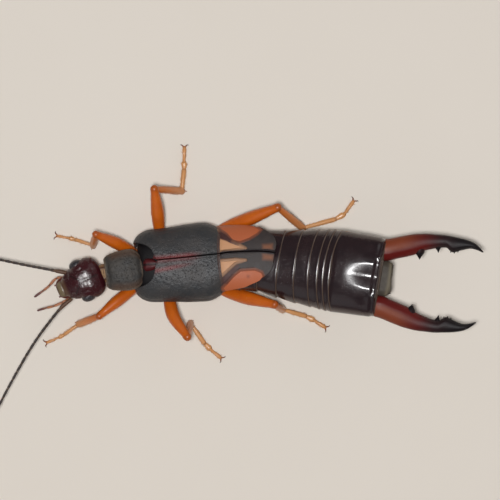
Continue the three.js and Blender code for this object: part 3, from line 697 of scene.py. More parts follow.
class EarwigColours(bpy.types.PropertyGroup):
    """The main colours of the animal."""
    head: colour_property("Head", "Colour of the head, 0 to 255", (58, 16, 22))
    shield: colour_property("Shield", "Colour of the shield behind the head", (46, 45, 45))
    cases: colour_property("Wing cases", "Colour of the leathery wing cases", (44, 46, 49))
    flush: colour_property("Red flush", "Colour beside the seam of the wing cases", (110, 38, 40))
    lobe: colour_property("Wing lobes", "Colour of the outer lobes of the wing tips", (176, 94, 58))
    pale: colour_property("Pale corners", "Colour of the wing tips next to the cases", (196, 146, 108))
    abdomen: colour_property("Abdomen", "Colour of the back plates", (29, 17, 22))
    margin: colour_property("Plate edges", "Colour of the thin hind edges of the plates", (98, 80, 66))
    forceps: colour_property("Forceps", "Colour of the forceps at their middle", (88, 26, 24))
    femur: colour_property("Legs", "Colour of the legs", (196, 94, 10))
    tarsus: colour_property("Feet", "Colour of the feet", (206, 150, 96))
    feeler: colour_property("Feelers", "Colour of the feelers", (40, 30, 28))


class EarwigSizes(bpy.types.PropertyGroup):
    """The sizes and counts that can be changed without redrawing a piece."""
    feeler_radius: length_property("Feeler radius", "Radius of a feeler at its middle, mm", 0.072, 0.02, 0.2)
    palp_radius: length_property("Palp radius", "Radius of a mouth palp, mm", 0.064, 0.02, 0.2)
    plate_step: length_property("Plate step", "Height of each hind edge of the abdomen, mm", 0.05, 0.0, 0.2)
    wing_thickness: length_property("Wing thickness", "Thickness of a folded wing tip, mm", 0.2, 0.05, 0.5)
    case_thickness: length_property("Case thickness", "Thickness of a wing case, mm", 0.2, 0.05, 0.5)
    feeler_rings: IntProperty(name="Feeler joints", description="Joints in each feeler", default=24, min=8,
                              max=40)
    bristles: IntProperty(name="Bristles", description="Bristles on each leg", default=260, min=0, max=2000)
    camera_height: FloatProperty(name="Camera height", description="Height of the camera over the floor",
                                 default=0.25, min=0.05, max=1, unit="LENGTH")


def colours():
    """The colours now set."""
    return bpy.context.scene.earwig_colours


def sizes():
    """The sizes now set."""
    return bpy.context.scene.earwig_sizes


class EarwigPiece:
    """What the operators share: each makes its pieces in its own build."""
    bl_options = {"REGISTER", "UNDO"}

    def execute(self, context):
        self.build()
        return {"FINISHED"}


class EARWIG_OT_head(EarwigPiece, bpy.types.Operator):
    """Make the glossy head with its seams, temples and feeler sockets"""
    bl_idname = "earwig.head"
    bl_label = "Head"

    def build(self):
        points, along, angle, half = whole(head_place, HEAD, 130, 160)
        across = half * bulge(np.cos(angle), HEAD["square"])
        outward = np.abs(across)
        above = ramp(np.sin(angle), 0.1, 0.4)
        seam = hump(across, 0, 0.035) * ramp(along, -0.1, -0.16) * ramp(along, -1.2, -1.0)
        fork = hump(outward - along - 0.13, 0, 0.045) * ramp(along, -0.13, -0.05) * ramp(along, 0.6, 0.4)
        temples = hump(np.hypot(along + 0.55, outward - 0.55), 0, 0.4)
        brow = hump(np.hypot(along - 0.25, across), 0, 0.35)
        socket = np.hypot(along - SOCKET["along"], outward - SOCKET["across"])
        eye_gap = np.hypot(along - EYE["along"], 1.2 * (outward - EYE["across"]))
        relief = above * (-0.03 * seam - 0.02 * fork + 0.05 * temples + 0.03 * brow)
        relief = relief - 0.05 * hump(socket, 0, SOCKET["radius"]) + 0.03 * hump(socket, 0.2, 0.05)
        relief = relief - 0.04 * hump(eye_gap, 0.42, 0.07)
        # The seam tint is painted shade: it darkens the sunk seams and their fork on top of the head.
        look = finish("head_gloss", colours().head, (34, 10, 16), [
            ("seam", (26, 8, 10)), ("front", (88, 64, 48)), ("under", (92, 44, 26))],
            amount=0.6, clouds=1.2, roughness=0.24, grain=(6, 1.0), pits=(8, 0.5, 0.3), bump=0.03, coat=0.12)
        shell = Shell()
        shell.add(raised(points, relief), seam=np.clip(seam + fork, 0, 1) * above,
                  front=ramp(along, 0.72, 0.98), under=ramp(-np.sin(angle), 0.1, 0.7))
        shell.make("head_skin", "head_shell", [look], ["head"])


class EARWIG_OT_eyes(EarwigPiece, bpy.types.Operator):
    """Make the faceted eyes"""
    bl_idname = "earwig.eyes"
    bl_label = "Eyes"

    def build(self):
        look = finish("eye_facets", (40, 38, 42), (70, 66, 70), amount=0.5, clouds=3, roughness=0.25,
                      grain=(60, 0.05), pits=(26, 0.9, 0.55), bump=0.01, coat=0.3)
        along, angle = closing(-1, 1, 60), around(72)
        ring = np.sqrt(np.clip(1 - along ** 2, 0, 1))
        for name, side in SIDES:
            points = at(head_place, EYE["along"] + EYE["long"] * along + 0 * angle,
                        side * (EYE["across"] + EYE["wide"] * ring * np.cos(angle)),
                        EYE["up"] + EYE["high"] * ring * np.sin(angle))
            Shell().add(points).make(f"faceted_eye_{name}", "eyes", [look], [f"eye_{name}"])


class EARWIG_OT_mouthparts(EarwigPiece, bpy.types.Operator):
    """Make the lip and the jaws"""
    bl_idname = "earwig.mouthparts"
    bl_label = "Lip and jaws"

    def build(self):
        points, along, angle, half = whole(head_place, LIP, 40, 72)
        across = half * bulge(np.cos(angle), LIP["square"])
        relief = -0.03 * hump(along, LIP_JOINT, 0.03) - 0.02 * hump(across, 0, 0.05) * ramp(along, 1.22, 1.38)
        look = finish("lip_olive", (118, 104, 78), (84, 62, 44), [
            ("edge", (70, 36, 24)), ("joint", (60, 34, 26))],
            amount=0.6, clouds=3, roughness=0.4, grain=(24, 0.3), bump=0.01, coat=0.1)
        lip = Shell()
        lip.add(raised(points, relief), edge=ramp(along, 1.32, 1.4), joint=hump(along, LIP_JOINT, 0.05))
        lip.make("upper_lip", "mouthparts", [look], ["labrum"])
        look = finish("jaw_brown", (88, 34, 22), (40, 14, 12), [("tip", (20, 8, 8))],
                      amount=0.6, clouds=3, roughness=0.3, grain=(24, 0.3), bump=0.01, coat=0.2)
        for name, side in SIDES:
            line = [at(head_place, along, side * across, up) for along, across, up in JAW]
            grid, share = limb(line, JAW_RADIUS, 28, 26, flat=0.8)
            jaw = Shell().add(grid, tip=ramp(share, 0.7, 1))
            jaw.make(f"jaw_{name}", "mouthparts", [look], [f"mandible_{name}"])


def beads(points, lengths, radius, waist=0.72, rows=9):
    """A limb of joints that swell from a narrow root, with its share of length and its dark joints."""
    edges = np.concatenate([[0], np.cumsum(lengths)]) / np.sum(lengths)
    local = np.concatenate([[0, 0.03], np.linspace(0.15, 0.85, rows - 4), [0.96, 0.995]])
    shares = np.concatenate([low + (high - low) * local for low, high in zip(edges[:-1], edges[1:])])
    within = np.tile(local, len(lengths))
    path = smooth_path(points, shares)
    swell = waist + (1 - waist) * np.sin(np.pi * np.clip(within * 0.62 + 0.06, 0, 1)) ** 0.7
    swell = np.where(within > 0.95, swell * 0.82, swell)
    swell = np.where(within < 0.01, waist * 0.8, swell)
    thick = curve_through(radius)(shares) * swell
    ahead = unit(np.gradient(path, axis=0) + 1e-12)
    across = unit(np.cross(ahead, UP))
    up = np.cross(across, ahead)
    angle = around(16)[..., None]
    ring = across[:, None] * np.cos(angle) + up[:, None] * np.sin(angle)
    grid = path[:, None] + ring * thick[:, None, None]
    dark = np.clip(ramp(within, 0.12, 0.0) + ramp(within, 0.9, 1.0), 0, 1)
    return grid, shares[:, None], dark[:, None]


class EARWIG_OT_feelers(EarwigPiece, bpy.types.Operator):
    """Make the long jointed feelers"""
    bl_idname = "earwig.feelers"
    bl_label = "Feelers"

    def build(self):
        look = finish("feeler_dark", colours().feeler, (66, 48, 38), [
            ("root", (84, 54, 34)), ("joint", (112, 86, 60))],
            amount=0.5, clouds=4, roughness=0.55, grain=(40, 0.5), bump=0.012)
        outer_joints = sizes().feeler_rings - len(FEELER_ROOT_JOINTS)
        lengths = FEELER_ROOT_JOINTS + [0.3 + 0.35 * min(i / 12, 1) for i in range(outer_joints)]
        keys = [(share, sizes().feeler_radius * thick) for share, thick in FEELER_TAPER]
        for name, _ in SIDES:
            grid, share, joint = beads(ANTENNAE[name], lengths, keys)
            shell = Shell()
            shell.add(grid, root=ramp(share, 0.09, 0.06), joint=joint * 0.55)
            shell.make(f"feeler_{name}", "feelers", [look], [f"antenna_{name}"])


class EARWIG_OT_palps(EarwigPiece, bpy.types.Operator):
    """Make the jointed mouth palps"""
    bl_idname = "earwig.palps"
    bl_label = "Mouth palps"

    def build(self):
        look = finish("palp_brown", (176, 112, 74), (120, 66, 44), [
            ("tip", (96, 56, 56)), ("joint", (84, 42, 30))],
            amount=0.5, clouds=3, roughness=0.45, grain=(30, 0.4), bump=0.01)
        for name, side in SIDES:
            low = [at(head_place, along, side * across, up) for along, across, up in LOWER_PALP]
            shell = Shell()
            for points, joints, taper, dark in ((PALPS[name], PALP_JOINTS, PALP_TAPER, (0.62, 0.9)),
                                                (low, LOWER_PALP_JOINTS, LOWER_PALP_TAPER, (0.6, 1))):
                keys = [(share, sizes().palp_radius * thick) for share, thick in taper]
                grid, share, joint = beads(points, joints, keys, waist=0.65, rows=12)
                shell.add(grid, tip=ramp(share, *dark), joint=joint)
            shell.make(f"mouth_palp_{name}", "palps", [look], [f"palp_{name}"])


class EARWIG_OT_neck(EarwigPiece, bpy.types.Operator):
    """Make the folded skin of the neck and of the flesh under the shield"""
    bl_idname = "earwig.neck"
    bl_label = "Neck skin"

    def build(self):
        points, along, angle, _ = whole(front_place, NECK_SKIN, 150, 120)
        fold = np.sin(along * 2 * np.pi / NECK_FOLD + 1.2 * np.cos(angle)) * ramp(along, -3.9, -4.1)
        plate = hump(np.abs(np.cos(angle)), 0.55, 0.2) * ramp(along, -4.7, -4.6) * ramp(along, -4.05, -4.15)
        edge = hump(along + 0.05 * np.cos(angle) ** 2, -3.45, 0.03) + hump(along, -2.75, 0.03)
        # The crease tint is painted shade: it darkens the troughs of the folds and the sunk lines across the
        # skin.
        look = finish("soft_skin_tan", (168, 132, 92), (126, 92, 62), [
            ("plate", (74, 42, 28)), ("crease", (96, 66, 44))],
            amount=0.6, clouds=3, roughness=0.5, grain=(22, 0.5), bump=0.015)
        shell = Shell()
        shell.add(raised(points, 0.018 * fold * (1 - plate) + 0.03 * plate - 0.03 * edge), plate=plate,
                  crease=np.clip(ramp(-fold, 0.2, 1) * (1 - plate) + edge, 0, 1))
        shell.make("neck_skin", "soft_skin", [look], ["neck", "prothorax"])


class EARWIG_OT_shield(EarwigPiece, bpy.types.Operator):
    """Make the shield behind the head, with its turned-up rim and middle furrow"""
    bl_idname = "earwig.shield"
    bl_label = "Shield"

    def build(self):
        points, along, angle, half = whole(front_place, PRONOTUM, 150, 200)
        side = bulge(np.cos(angle), PRONOTUM["square"])
        outward = np.abs(side)
        above = ramp(np.sin(angle), -0.05, 0.25)
        rim = np.maximum(hump(outward, 0.97, 0.05), hump(along, -4.24, 0.05))
        rim = np.maximum(rim, hump(along, -2.2, 0.05) * ramp(outward, 1.0, 0.6))
        gutter = np.maximum(hump(outward, 0.86, 0.05), hump(along, -4.1, 0.05))
        furrow = hump(side * half, 0, 0.03) * ramp(along, -4.15, -4.0) * ramp(along, -2.35, -2.6)
        cross_dent = hump(along + 0.1 * side ** 2, -3.05, 0.22) * ramp(outward, 0.8, 0.5)
        swelling = hump(along, -3.65, 0.3) * hump(outward, 0.35, 0.25)
        relief = above * (0.03 * rim - 0.025 * gutter - 0.006 * furrow - 0.02 * cross_dent + 0.03 * swelling)
        # The furrow tint is painted shade: it darkens the sunk middle furrow.
        look = finish("shield_matte", colours().shield, (78, 72, 66), [
            ("side_band", (92, 68, 54)), ("rim", (104, 90, 76)), ("furrow", (36, 32, 32))],
            amount=0.75, clouds=1.5, roughness=0.55, grain=(6, 1.0), pits=(9, 0.7, 0.35), bump=0.06,
            specular=0.4)
        shell = Shell()
        shell.add(raised(points, relief), rim=np.clip(0.75 * above * rim, 0, 1), furrow=0.35 * above * furrow,
                  side_band=0.6 * above * ramp(outward, 0.5, 0.85) * ramp(along, -4.2, -3.7))
        shell.make("shield_plate", "shield", [look], ["pronotum"])


class EARWIG_OT_thorax(EarwigPiece, bpy.types.Operator):
    """Make the thorax: breast plates below, flanks, and the back that shows in the notch, near-black as
    painted shade
    """
    bl_idname = "earwig.thorax"
    bl_label = "Thorax"

    def build(self):
        points, along, angle, half = whole(body_place, THORAX, 190, 180)
        across = half * np.cos(angle)
        below = ramp(-np.sin(angle), 0.1, 0.5)
        flank = ramp(np.abs(np.cos(angle)), 0.55, 0.85)
        slant = along + 0.5 * np.sin(angle)
        seams = below * (hump(along, -1.55, 0.03) + hump(along, 0.35 + 0.15 * np.cos(angle), 0.03))
        flank_seam = flank * (hump(slant, -0.6, 0.04) + hump(slant, 1.2, 0.04))
        furrow = below * hump(across, 0, 0.04)
        swelling = below * hump(np.abs(across), 0.5, 0.3)
        body = finish("thorax_brown", (64, 36, 28), (40, 22, 20), [
            ("breast", (110, 60, 34)), ("flank", (86, 50, 40)), ("seam", (150, 110, 76))],
            amount=0.5, clouds=1.6, roughness=0.4, grain=(18, 0.4), pits=(9, 0.3, 0.25), bump=0.015, coat=0.1)
        shell = Shell()
        shell.add(raised(points, 0.04 * swelling - 0.03 * np.clip(seams + furrow + flank_seam, 0, 1)),
                  flank=flank * (1 - 0.5 * below), seam=np.clip(seams + flank_seam, 0, 1), breast=below)
        along, angle = closing(*BACK["ends"], 90), around(120)
        half, top, rise, square = read(ELYTRA, along, "half", "top", "rise", "square")
        top = top - np.where(along < -1.1, BACK["lower_front"], BACK["lower_rear"])
        back = section(body_place, along, angle, half - BACK["inside"], np.maximum(top, 0.1), BACK["bottom"],
                       rise, square)
        ridge = hump(np.cos(angle), 0, 0.1) * ramp(np.sin(angle), 0, 0.5)
        # The back's near-black colour is painted shade: it stands for the shadow under the fronts of the wing
        # cases.
        dark = finish("notch_back_painted_shade", (12, 10, 13), (20, 16, 18), amount=0.5, clouds=2, roughness=0.6,
                      grain=(18, 0.5), bump=0.015, specular=0.25)
        shell.add(raised(back, 0.02 * ridge), finish=1)
        shell.make("thorax_skin", "thorax_shell", [body, dark], ["thorax"])


class EARWIG_OT_scutellum(EarwigPiece, bpy.types.Operator):
    """Make the small dark red plate between the roots of the wing cases"""
    bl_idname = "earwig.scutellum"
    bl_label = "Small red plate"

    def build(self):
        points, _, angle, half = whole(body_place, SCUTELLUM, 60, 80)
        groove = hump(half * np.cos(angle), 0, 0.03) * ramp(np.sin(angle), 0, 0.5)
        # The groove tint is painted shade: it darkens the sunk middle groove of the plate.
        look = finish("red_plate_gloss", (84, 24, 28), (46, 16, 18), [("groove", (24, 10, 12))], amount=0.7,
                      clouds=4, roughness=0.5, grain=(24, 0.4), bump=0.012, specular=0.3)
        shell = Shell()
        shell.add(raised(points, -0.02 * groove), groove=groove)
        shell.make("red_plate", "thorax_shell", [look], ["scutellum"])


class EARWIG_OT_wing_cases(EarwigPiece, bpy.types.Operator):
    """Make the two leathery wing cases, meeting at the seam behind a notch"""
    bl_idname = "earwig.wing_cases"
    bl_label = "Wing cases"

    def build(self):
        look = finish("case_leather", colours().cases, (74, 66, 62), [
            ("flush", colours().flush), ("edge", (88, 58, 48))],
            amount=0.5, clouds=1.1, roughness=0.48, grain=(5, 1.0), pits=(9, 0.35, 0.4), bump=0.05,
            specular=0.45)
        along = closing(*ELYTRA["ends"], 190)
        half, top, bottom, rise, square = read(ELYTRA, along, "half", "top", "bottom", "rise", "square")
        notch, seam = curve_through(NOTCH_HALF)(along), curve_through(SEAM)(along)
        swell = curve_through([(-2.2, 1.5), (-1, 1.3), (0.5, 0.6), (2, 0.2)])(along)
        red_line = curve_through([(-1.3, 0.6), (1, 0.35)])(along)
        rear = ramp(along, 2.12, 2.29)
        share = np.linspace(0, 1, 140)[None, :]
        for name, side in SIDES:
            inner = np.maximum(notch, side * seam + 0.006)
            first = np.arccos(bulge(np.clip(inner / half, -1, 1), 4 / square))
            angle = first + (np.radians(ELYTRA["lowest"]) - first) * share
            reach = half * bulge(np.cos(angle), square)
            height = rise + np.where(np.sin(angle) > 0, top, bottom) * bulge(np.sin(angle), square)
            points = at(body_place, along + 0 * angle, -side * reach, height)
            from_seam = reach - side * seam
            if side > 0:
                points, from_seam, angle = (grid[:, ::-1] for grid in (points, from_seam, angle))
            bead = hump(from_seam, 0.09, 0.04) - 0.4 * hump(from_seam, 0, 0.02)
            keel = hump(np.degrees(angle), 14, 7) * ramp(along, 2.2, 1.6) * ramp(along, -2.5, -2)
            relief = 0.012 * bead + 0.03 * keel - 0.05 * rear ** 2 + 0.03 * hump(from_seam, swell, 0.5)
            flush = hump(from_seam, 0.07, 0.13) * ramp(along, 1.5, 0.4)
            if side < 0:
                flush = 0.6 * flush + 0.8 * hump(from_seam - red_line, 0, 0.12) * ramp(along, 1.2, -0.6)
            shell = Shell()
            shell.add_plate(raised(points, relief, closed=False), sizes().case_thickness,
                            flush=np.clip(flush * ramp(along, -1.75, -1.4), 0, 1),
                            edge=0.5 * np.clip(rear + hump(np.degrees(angle), -10, 14), 0, 1))
            shell.make(f"wing_case_{name}", "wing_cases", [look], [f"elytron_{name}"])


class EARWIG_OT_wing_tips(EarwigPiece, bpy.types.Operator):
    """Make the folded wing tips with their orange lobes, dark bars and pale corners"""
    bl_idname = "earwig.wing_tips"
    bl_label = "Wing tips"

    def build(self):
        tone = colours()
        # The fold tint is painted shade: it darkens the sunk line where the two wing tips meet.
        look = finish("wing_leather", (52, 46, 46), (70, 60, 56), [
            ("pale", tone.pale), ("lobe", tone.lobe), ("bar", (70, 42, 40)), ("spot", (124, 78, 54)),
            ("fold", (34, 26, 28)), ("dot", (120, 56, 36))],
            amount=0.5, clouds=2.5, roughness=0.52, grain=(18, 0.7), bump=0.02, specular=0.35)
        along = closing(*WING["ends"], 170)
        over, wide, shift = read(WING, along, "over", "half", "shift")
        half, top = (value + over for value in read(ABDOMEN, np.maximum(along, 2.5), "half", "top"))
        seam, square = curve_through(SEAM)(along), ABDOMEN["square"]
        share = np.linspace(0, 1, 150)[None, :]
        for name, side in SIDES:
            inner = -seam - side * 0.004
            outer = -shift - side * wide
            across = inner + (outer - inner) * np.sin(share * np.pi / 2)
            height = top * np.clip(1 - (np.abs(across) / (half + 0.02)) ** square, 0, 1) ** (1 / square)
            points = at(body_place, along + 0 * across, across, height)
            if side > 0:
                points, across = points[:, ::-1], across[:, ::-1]
            lobe, pale, bar, spot = (patch(points, marks[name], soft) for marks, soft in (
                (LOBES, 0.06), (PALE_CORNERS, 0.06), (OBLIQUE_BARS, 0.05), (TIP_SPOTS, 0.14)))
            from_seam = np.abs(across + seam)
            crease = 4 * (lobe * (1 - lobe) + pale * (1 - pale))
            from_dot = np.hypot(points[..., 0] - LEFT_DOT[0], points[..., 1] - LEFT_DOT[1])
            relief = -0.02 * crease + 0.035 * lobe - 0.03 * hump(from_seam, 0, 0.05)
            shell = Shell()
            shell.add_plate(raised(points, relief, closed=False), sizes().wing_thickness, lobe=lobe,
                            pale=pale, bar=bar, spot=spot, fold=hump(from_seam, 0, 0.07),
                            dot=0.7 * (side < 0) * hump(from_dot, 0, 0.09))
            shell.make(f"wing_tip_{name}", "wing_tips", [look], [f"wing_{name}"])


def abdomen_finish(name):
    """The glossy black-brown of the abdomen, with its pale edges and side skin."""
    return finish(name, colours().abdomen, (46, 24, 26), [
        ("flank", (58, 40, 36)), ("edge", colours().margin), ("skin", (176, 150, 120))],
        amount=0.55, clouds=1.2, roughness=0.24, grain=(24, 0.35), pits=(10, 0.5, 0.24), bump=0.012,
        coat=0.35)


class EARWIG_OT_abdomen(EarwigPiece, bpy.types.Operator):
    """Make the abdomen of overlapping plates, with thin pale hind edges and soft skin at the sides"""
    bl_idname = "earwig.abdomen"
    bl_label = "Abdomen"

    def build(self):
        local = np.concatenate([[0, 0.02, 0.06], np.linspace(0.12, 0.88, 14), [0.92, 0.95, 0.975, 0.99, 1]])
        plates = list(zip(TERGITE_ENDS[:-1], TERGITE_ENDS[1:]))
        place = np.concatenate([low + 0.004 + (high - low - 0.004) * local for low, high in plates])[:, None]
        within = np.tile(local, len(plates))[:, None]
        to_end = np.concatenate([(high - low) * (1 - local) for low, high in plates])[:, None]
        angle = around(220)
        side = np.cos(angle)
        bow, = read(ABDOMEN, place, "bow")
        along = place + bow * np.where(np.sin(angle) > 0, side ** 2, side ** 2 + 0.5 * np.sin(angle) ** 2)
        points = sections(body_place, ABDOMEN, np.minimum(along, place + 0.4), angle)
        lip, dip = hump(to_end, 0.09, 0.05), hump(to_end, 0, 0.02)
        fold = hump(np.degrees(np.arctan2(np.sin(angle), np.abs(side))), -16, 5)
        relief = sizes().plate_step * (0.3 * lip - 0.4 * dip - (1 - within) ** 1.3)
        edge = hump(to_end, 0.02, 0.022) * (0.35 + 0.65 * ramp(np.sin(angle), -0.15, 0.1))
        shell = Shell()
        shell.add(raised(points, relief - 0.05 * fold * ramp(place, 8.5, 5)), edge=np.clip(edge, 0, 1) * 0.85,
                  skin=fold * ramp(place, 7, 4.5), flank=ramp(np.abs(side), 0.75, 0.98))
        shell.make("abdomen_plates", "abdomen_shell", [abdomen_finish("abdomen_gloss")], ["abdomen"])


class EARWIG_OT_last_plate(EarwigPiece, bpy.types.Operator):
    """Make the broad last plate with its dent and bumps, and the small plate between the forceps"""
    bl_idname = "earwig.last_plate"
    bl_label = "Last plate"

    def build(self):
        low, high = LAST_TERGITE
        along = np.concatenate([np.linspace(low, low + 0.3, 12), np.linspace(low + 0.32, high - 0.3, 110),
                                high - 0.28 * np.linspace(1, 0, 50) ** 1.5])[:, None]
        angle = around(260)
        points = sections(body_place, ABDOMEN, along, angle)
        half, square = read(ABDOMEN, along, "half", "square")
        across = half * bulge(np.cos(angle), square)
        outward = np.abs(across)
        above = ramp(np.sin(angle), 0.05, 0.3)
        dent = ramp(along, 9.45, 11) * np.clip(1.1 - outward / (0.5 + 0.15 * ramp(along, 9.6, 11)), 0, 1)
        hollows = hump(along, 10.9, 0.3) * hump(outward, 1.45, 0.3)
        bumps = sum(hump(np.hypot(along - high + 0.12, across - place), 0, size) for place, size in TUBERCLES)
        ends = 0.06 * ramp(along, low + 0.25, low) + 0.14 * ramp(along, high - 0.14, high) ** 2
        relief = above * (-0.15 * dent - 0.04 * hollows + 0.07 * bumps) - ends
        relief = relief + 0.025 * hump(along, high - 0.14, 0.06)
        shell = Shell()
        shell.add(raised(points, relief), flank=ramp(np.abs(np.cos(angle)), 0.8, 1),
                  skin=0.12 * ramp(along, high - 0.04, high))
        shell.make("last_plate", "abdomen_shell", [abdomen_finish("last_plate_gloss")], ["last_tergite"])
        points, along, angle, _ = whole(body_place, PYGIDIUM, 60, 90)
        # The end plate is a real plate, but its olive grey is partly painted shadow: it matches the floor in
        # shade between the forceps roots.
        look = finish("end_plate_olive", (72, 66, 58), (50, 42, 38), [("tip", (108, 100, 84))],
                      amount=0.6, clouds=4, roughness=0.55, grain=(16, 0.6), bump=0.02, specular=0.25)
        small = Shell()
        small.add(raised(points, 0.03 * hump(np.abs(np.cos(angle)), 0.6, 0.2) * ramp(along, 12, 11.8)),
                  tip=hump(along + 0.1 * np.cos(angle) ** 2, 11.95, 0.1))
        small.make("end_plate", "abdomen_shell", [look], ["pygidium"])


def arm_edges(name, run):
    """How far out the inner and outer edges of one arm of the forceps lie."""
    spread = FORCEPS[name]["opening"] * (np.maximum(run, 0) / FORCEPS["long"]) ** 2
    return [edge + spread for edge in read(FORCEPS, run, "inner", "outer")]


def on_arm(side, run, out, lift=0.0):
    """Points on an arm, at places along it, out from the middle and up."""
    turn = math.radians(FORCEPS["yaw"])
    ahead = np.array([math.cos(turn), math.sin(turn), 0])
    aside = np.array([-math.sin(turn), math.cos(turn), 0])
    run, out, lift = (np.asarray(value, float)[..., None] for value in (run, out, lift))
    return np.array(FORCEPS["base"]) + run * ahead + side * out * aside + lift * UP


class EARWIG_OT_forceps(EarwigPiece, bpy.types.Operator):
    """Make the toothed forceps, orange at the roots and black at the tips"""
    bl_idname = "earwig.forceps"
    bl_label = "Forceps"

    def build(self):
        look = finish("forceps_horn", colours().forceps, (80, 22, 20), [
            ("root", (122, 58, 36)), ("inner", (96, 18, 14)), ("dark", (40, 22, 24)), ("tip", (20, 14, 17))],
            amount=0.5, clouds=1.4, roughness=0.45, grain=(20, 0.35), pits=(9, 0.25, 0.2), bump=0.014,
            specular=0.22)
        tip = 5.5 + 0.07 * np.sin(np.linspace(0.1, 1.57, 8))
        run = np.concatenate([np.linspace(-0.35, 3.2, 90), np.linspace(3.22, 4, 50),
                              np.linspace(4.02, 5.5, 60), tip])[:, None]
        angle = around(72)
        round_out, round_up = (bulge(wave(angle), FORCEPS["square"]) for wave in (np.cos, np.sin))
        close = np.sqrt(np.clip((5.575 - run) / 0.1, 0.02, 1))
        flattened = 1 - 0.35 * ramp(-np.cos(angle), 0.4, 1) * ramp(run, 0.6, 2)
        lift = read(FORCEPS, run, "high")[0] * close * round_up * flattened
        ridge = 0.02 * hump(np.cos(angle), -0.35, 0.15) * ramp(np.sin(angle), 0, 0.4) * ramp(run, 1.8, 1)
        for name, side in SIDES:
            inner, outer = arm_edges(name, run)
            out = (inner + outer) / 2 + (outer - inner) / 2 * close * round_out
            share = (out - inner) / np.maximum(outer - inner, 0.01)
            shell = Shell()
            shell.add(raised(on_arm(side, run, out, lift), side * -ridge * ramp(run, 5, 3)),
                      root=ramp(run, 2.3, 0.7) * ramp(share, 0.25, 0.55), tip=ramp(run, 3, 4.4),
                      inner=0.8 * ramp(share, 0.5, 0.2) * ramp(run, 3.1, 2.2), dark=ramp(run, 1.9, 3.3))
            for place, reach, wide in FORCEPS[name]["teeth"]:
                root, _ = arm_edges(name, place)
                line = on_arm(side, [place - 0.03, place, place + 0.04], [root + 0.34, root + 0.05, reach])
                radius = [(0, wide * 0.8), (0.5, wide * 0.6), (0.78, wide * 0.27), (1, 0.02)]
                grid, share = limb(line, radius, 24, 22, flat=0.9)
                shell.add(grid, dark=1, tip=ramp(share, 0.35, 0.6))
            for place in FORCEPS["small_teeth"]:
                root, _ = arm_edges(name, place)
                line = on_arm(side, [place, place], [root + 0.15, root - 0.05])
                shell.add(limb(line, [(0, 0.08), (1, 0.025)], 16, 8)[0], dark=1, tip=1)
            shell.make(f"forceps_arm_{name}", "forceps", [look], [f"forceps_{name}"])


def leg_parts(name):
    """The limbs of one leg as (part, grid, share), from the root to the claws."""
    root, hip, knee, ankle, toes = (np.array(place, float) for place in LEGS[name])
    stout, foot = STOUTNESS[name.split("_")[0]]
    toes = [np.array([x, y, z]) for (x, y), z in zip(toes, TOE_HEIGHTS)]
    ankle = ankle * [1, 1, 0.85]
    thigh, shin = unit(knee - hip), unit(ankle - knee)
    out = unit(np.cross(thigh, UP))
    middle = np.array(BOWED[name]) if name in BOWED else (hip + knee) / 2 + UP * 0.06 + out * 0.03
    lines = [("coxa", [root, hip], 28, 14, 1, 1),
             ("trochanter", [hip - 0.1 * thigh, hip + 0.2 * thigh], 24, 8, 1, 1),
             ("femur", [hip, middle, knee], 32, 46, stout, stout),
             ("tibia", [knee, (knee + ankle) / 2 + UP * 0.05, ankle], 26, 40, 0.95, 1)]
    aside = unit(np.cross(shin, unit(toes[0] - ankle)) + 1e-6)
    for turn in (-1, 1):
        start = ankle + shin * 0.12 + turn * aside * 0.13
        lines.append(("spur", [start, start + shin * 0.12 + turn * aside * 0.08], 10, 8, 1, 1))
    lines += [("first", [ankle, (ankle + toes[0]) / 2 + UP * 0.02, toes[0]], 20, 26, foot, foot),
              ("second", [toes[0], toes[1]], 20, 16, 0.75, 1.1 * foot),
              ("third", [toes[1], (toes[1] + toes[2]) / 2 + UP * 0.05, toes[2]], 20, 26, foot, foot)]
    way = unit((toes[2] - toes[1]) * [1, 1, 0])
    aside = np.cross(way, UP)
    for turn in (-1, 1):
        start = toes[2] + turn * aside * 0.03
        hook = [start + way * on + turn * aside * off + UP * up for on, off, up in CLAW_HOOK]
        lines.append(("claw", hook, 14, 18, 1, 1))
    return [(part, *limb(line, LEG_RADIUS[part], sides, rows, flat, wide))
            for part, line, sides, rows, flat, wide in lines]


class EARWIG_OT_legs(EarwigPiece, bpy.types.Operator):
    """Make the six jointed legs with their spurs, feet and claws"""
    bl_idname = "earwig.legs"
    bl_label = "Legs"

    def build(self):
        look = finish("leg_shell", colours().femur, (164, 64, 12), [
            ("pale", colours().tarsus), ("dark", (104, 52, 22)), ("claw", (58, 34, 20))],
            amount=0.45, clouds=2, roughness=0.36, grain=(26, 0.4), pits=(10, 0.2, 0.2), bump=0.01, coat=0.12)
        for name in LEGS:
            shell = Shell()
            for part, grid, share in leg_parts(name):
                pale = 0.15 + 0.5 * share if part == "tibia" else PALE_SHARE.get(part, 0)
                claw = (part == "claw") * (0.3 + share) + (part == "spur") * 0.8 * share
                ends = ramp(share, 0.97, 1) + ramp(share, 0.03, 0)
                shell.add(grid, pale=pale, dark=np.clip(ends, 0, 1) * 0.35, claw=np.clip(claw, 0, 1))
            shell.make(f"jointed_leg_{name}", "legs", [look], [f"leg_{name}"])


def bristle_roots(grid, count, chance, draw):
    """Random places on a grid, with the outward and onward directions and the place on its unwrap."""
    rows, columns = grid.shape[:2]
    onward = unit(np.gradient(grid, axis=0) + 1e-12)
    outward = unit(np.cross(onward, np.roll(grid, -1, 1) - np.roll(grid, 1, 1)) + 1e-12)
    weight = np.broadcast_to(chance, (rows, columns)).ravel()
    pick = draw.choice(rows * columns, size=count, p=weight / weight.sum())
    unwrap = np.stack([(pick // columns) / rows, (pick % columns) / columns], -1)
    return grid.reshape(-1, 3)[pick], outward.reshape(-1, 3)[pick], onward.reshape(-1, 3)[pick], unwrap


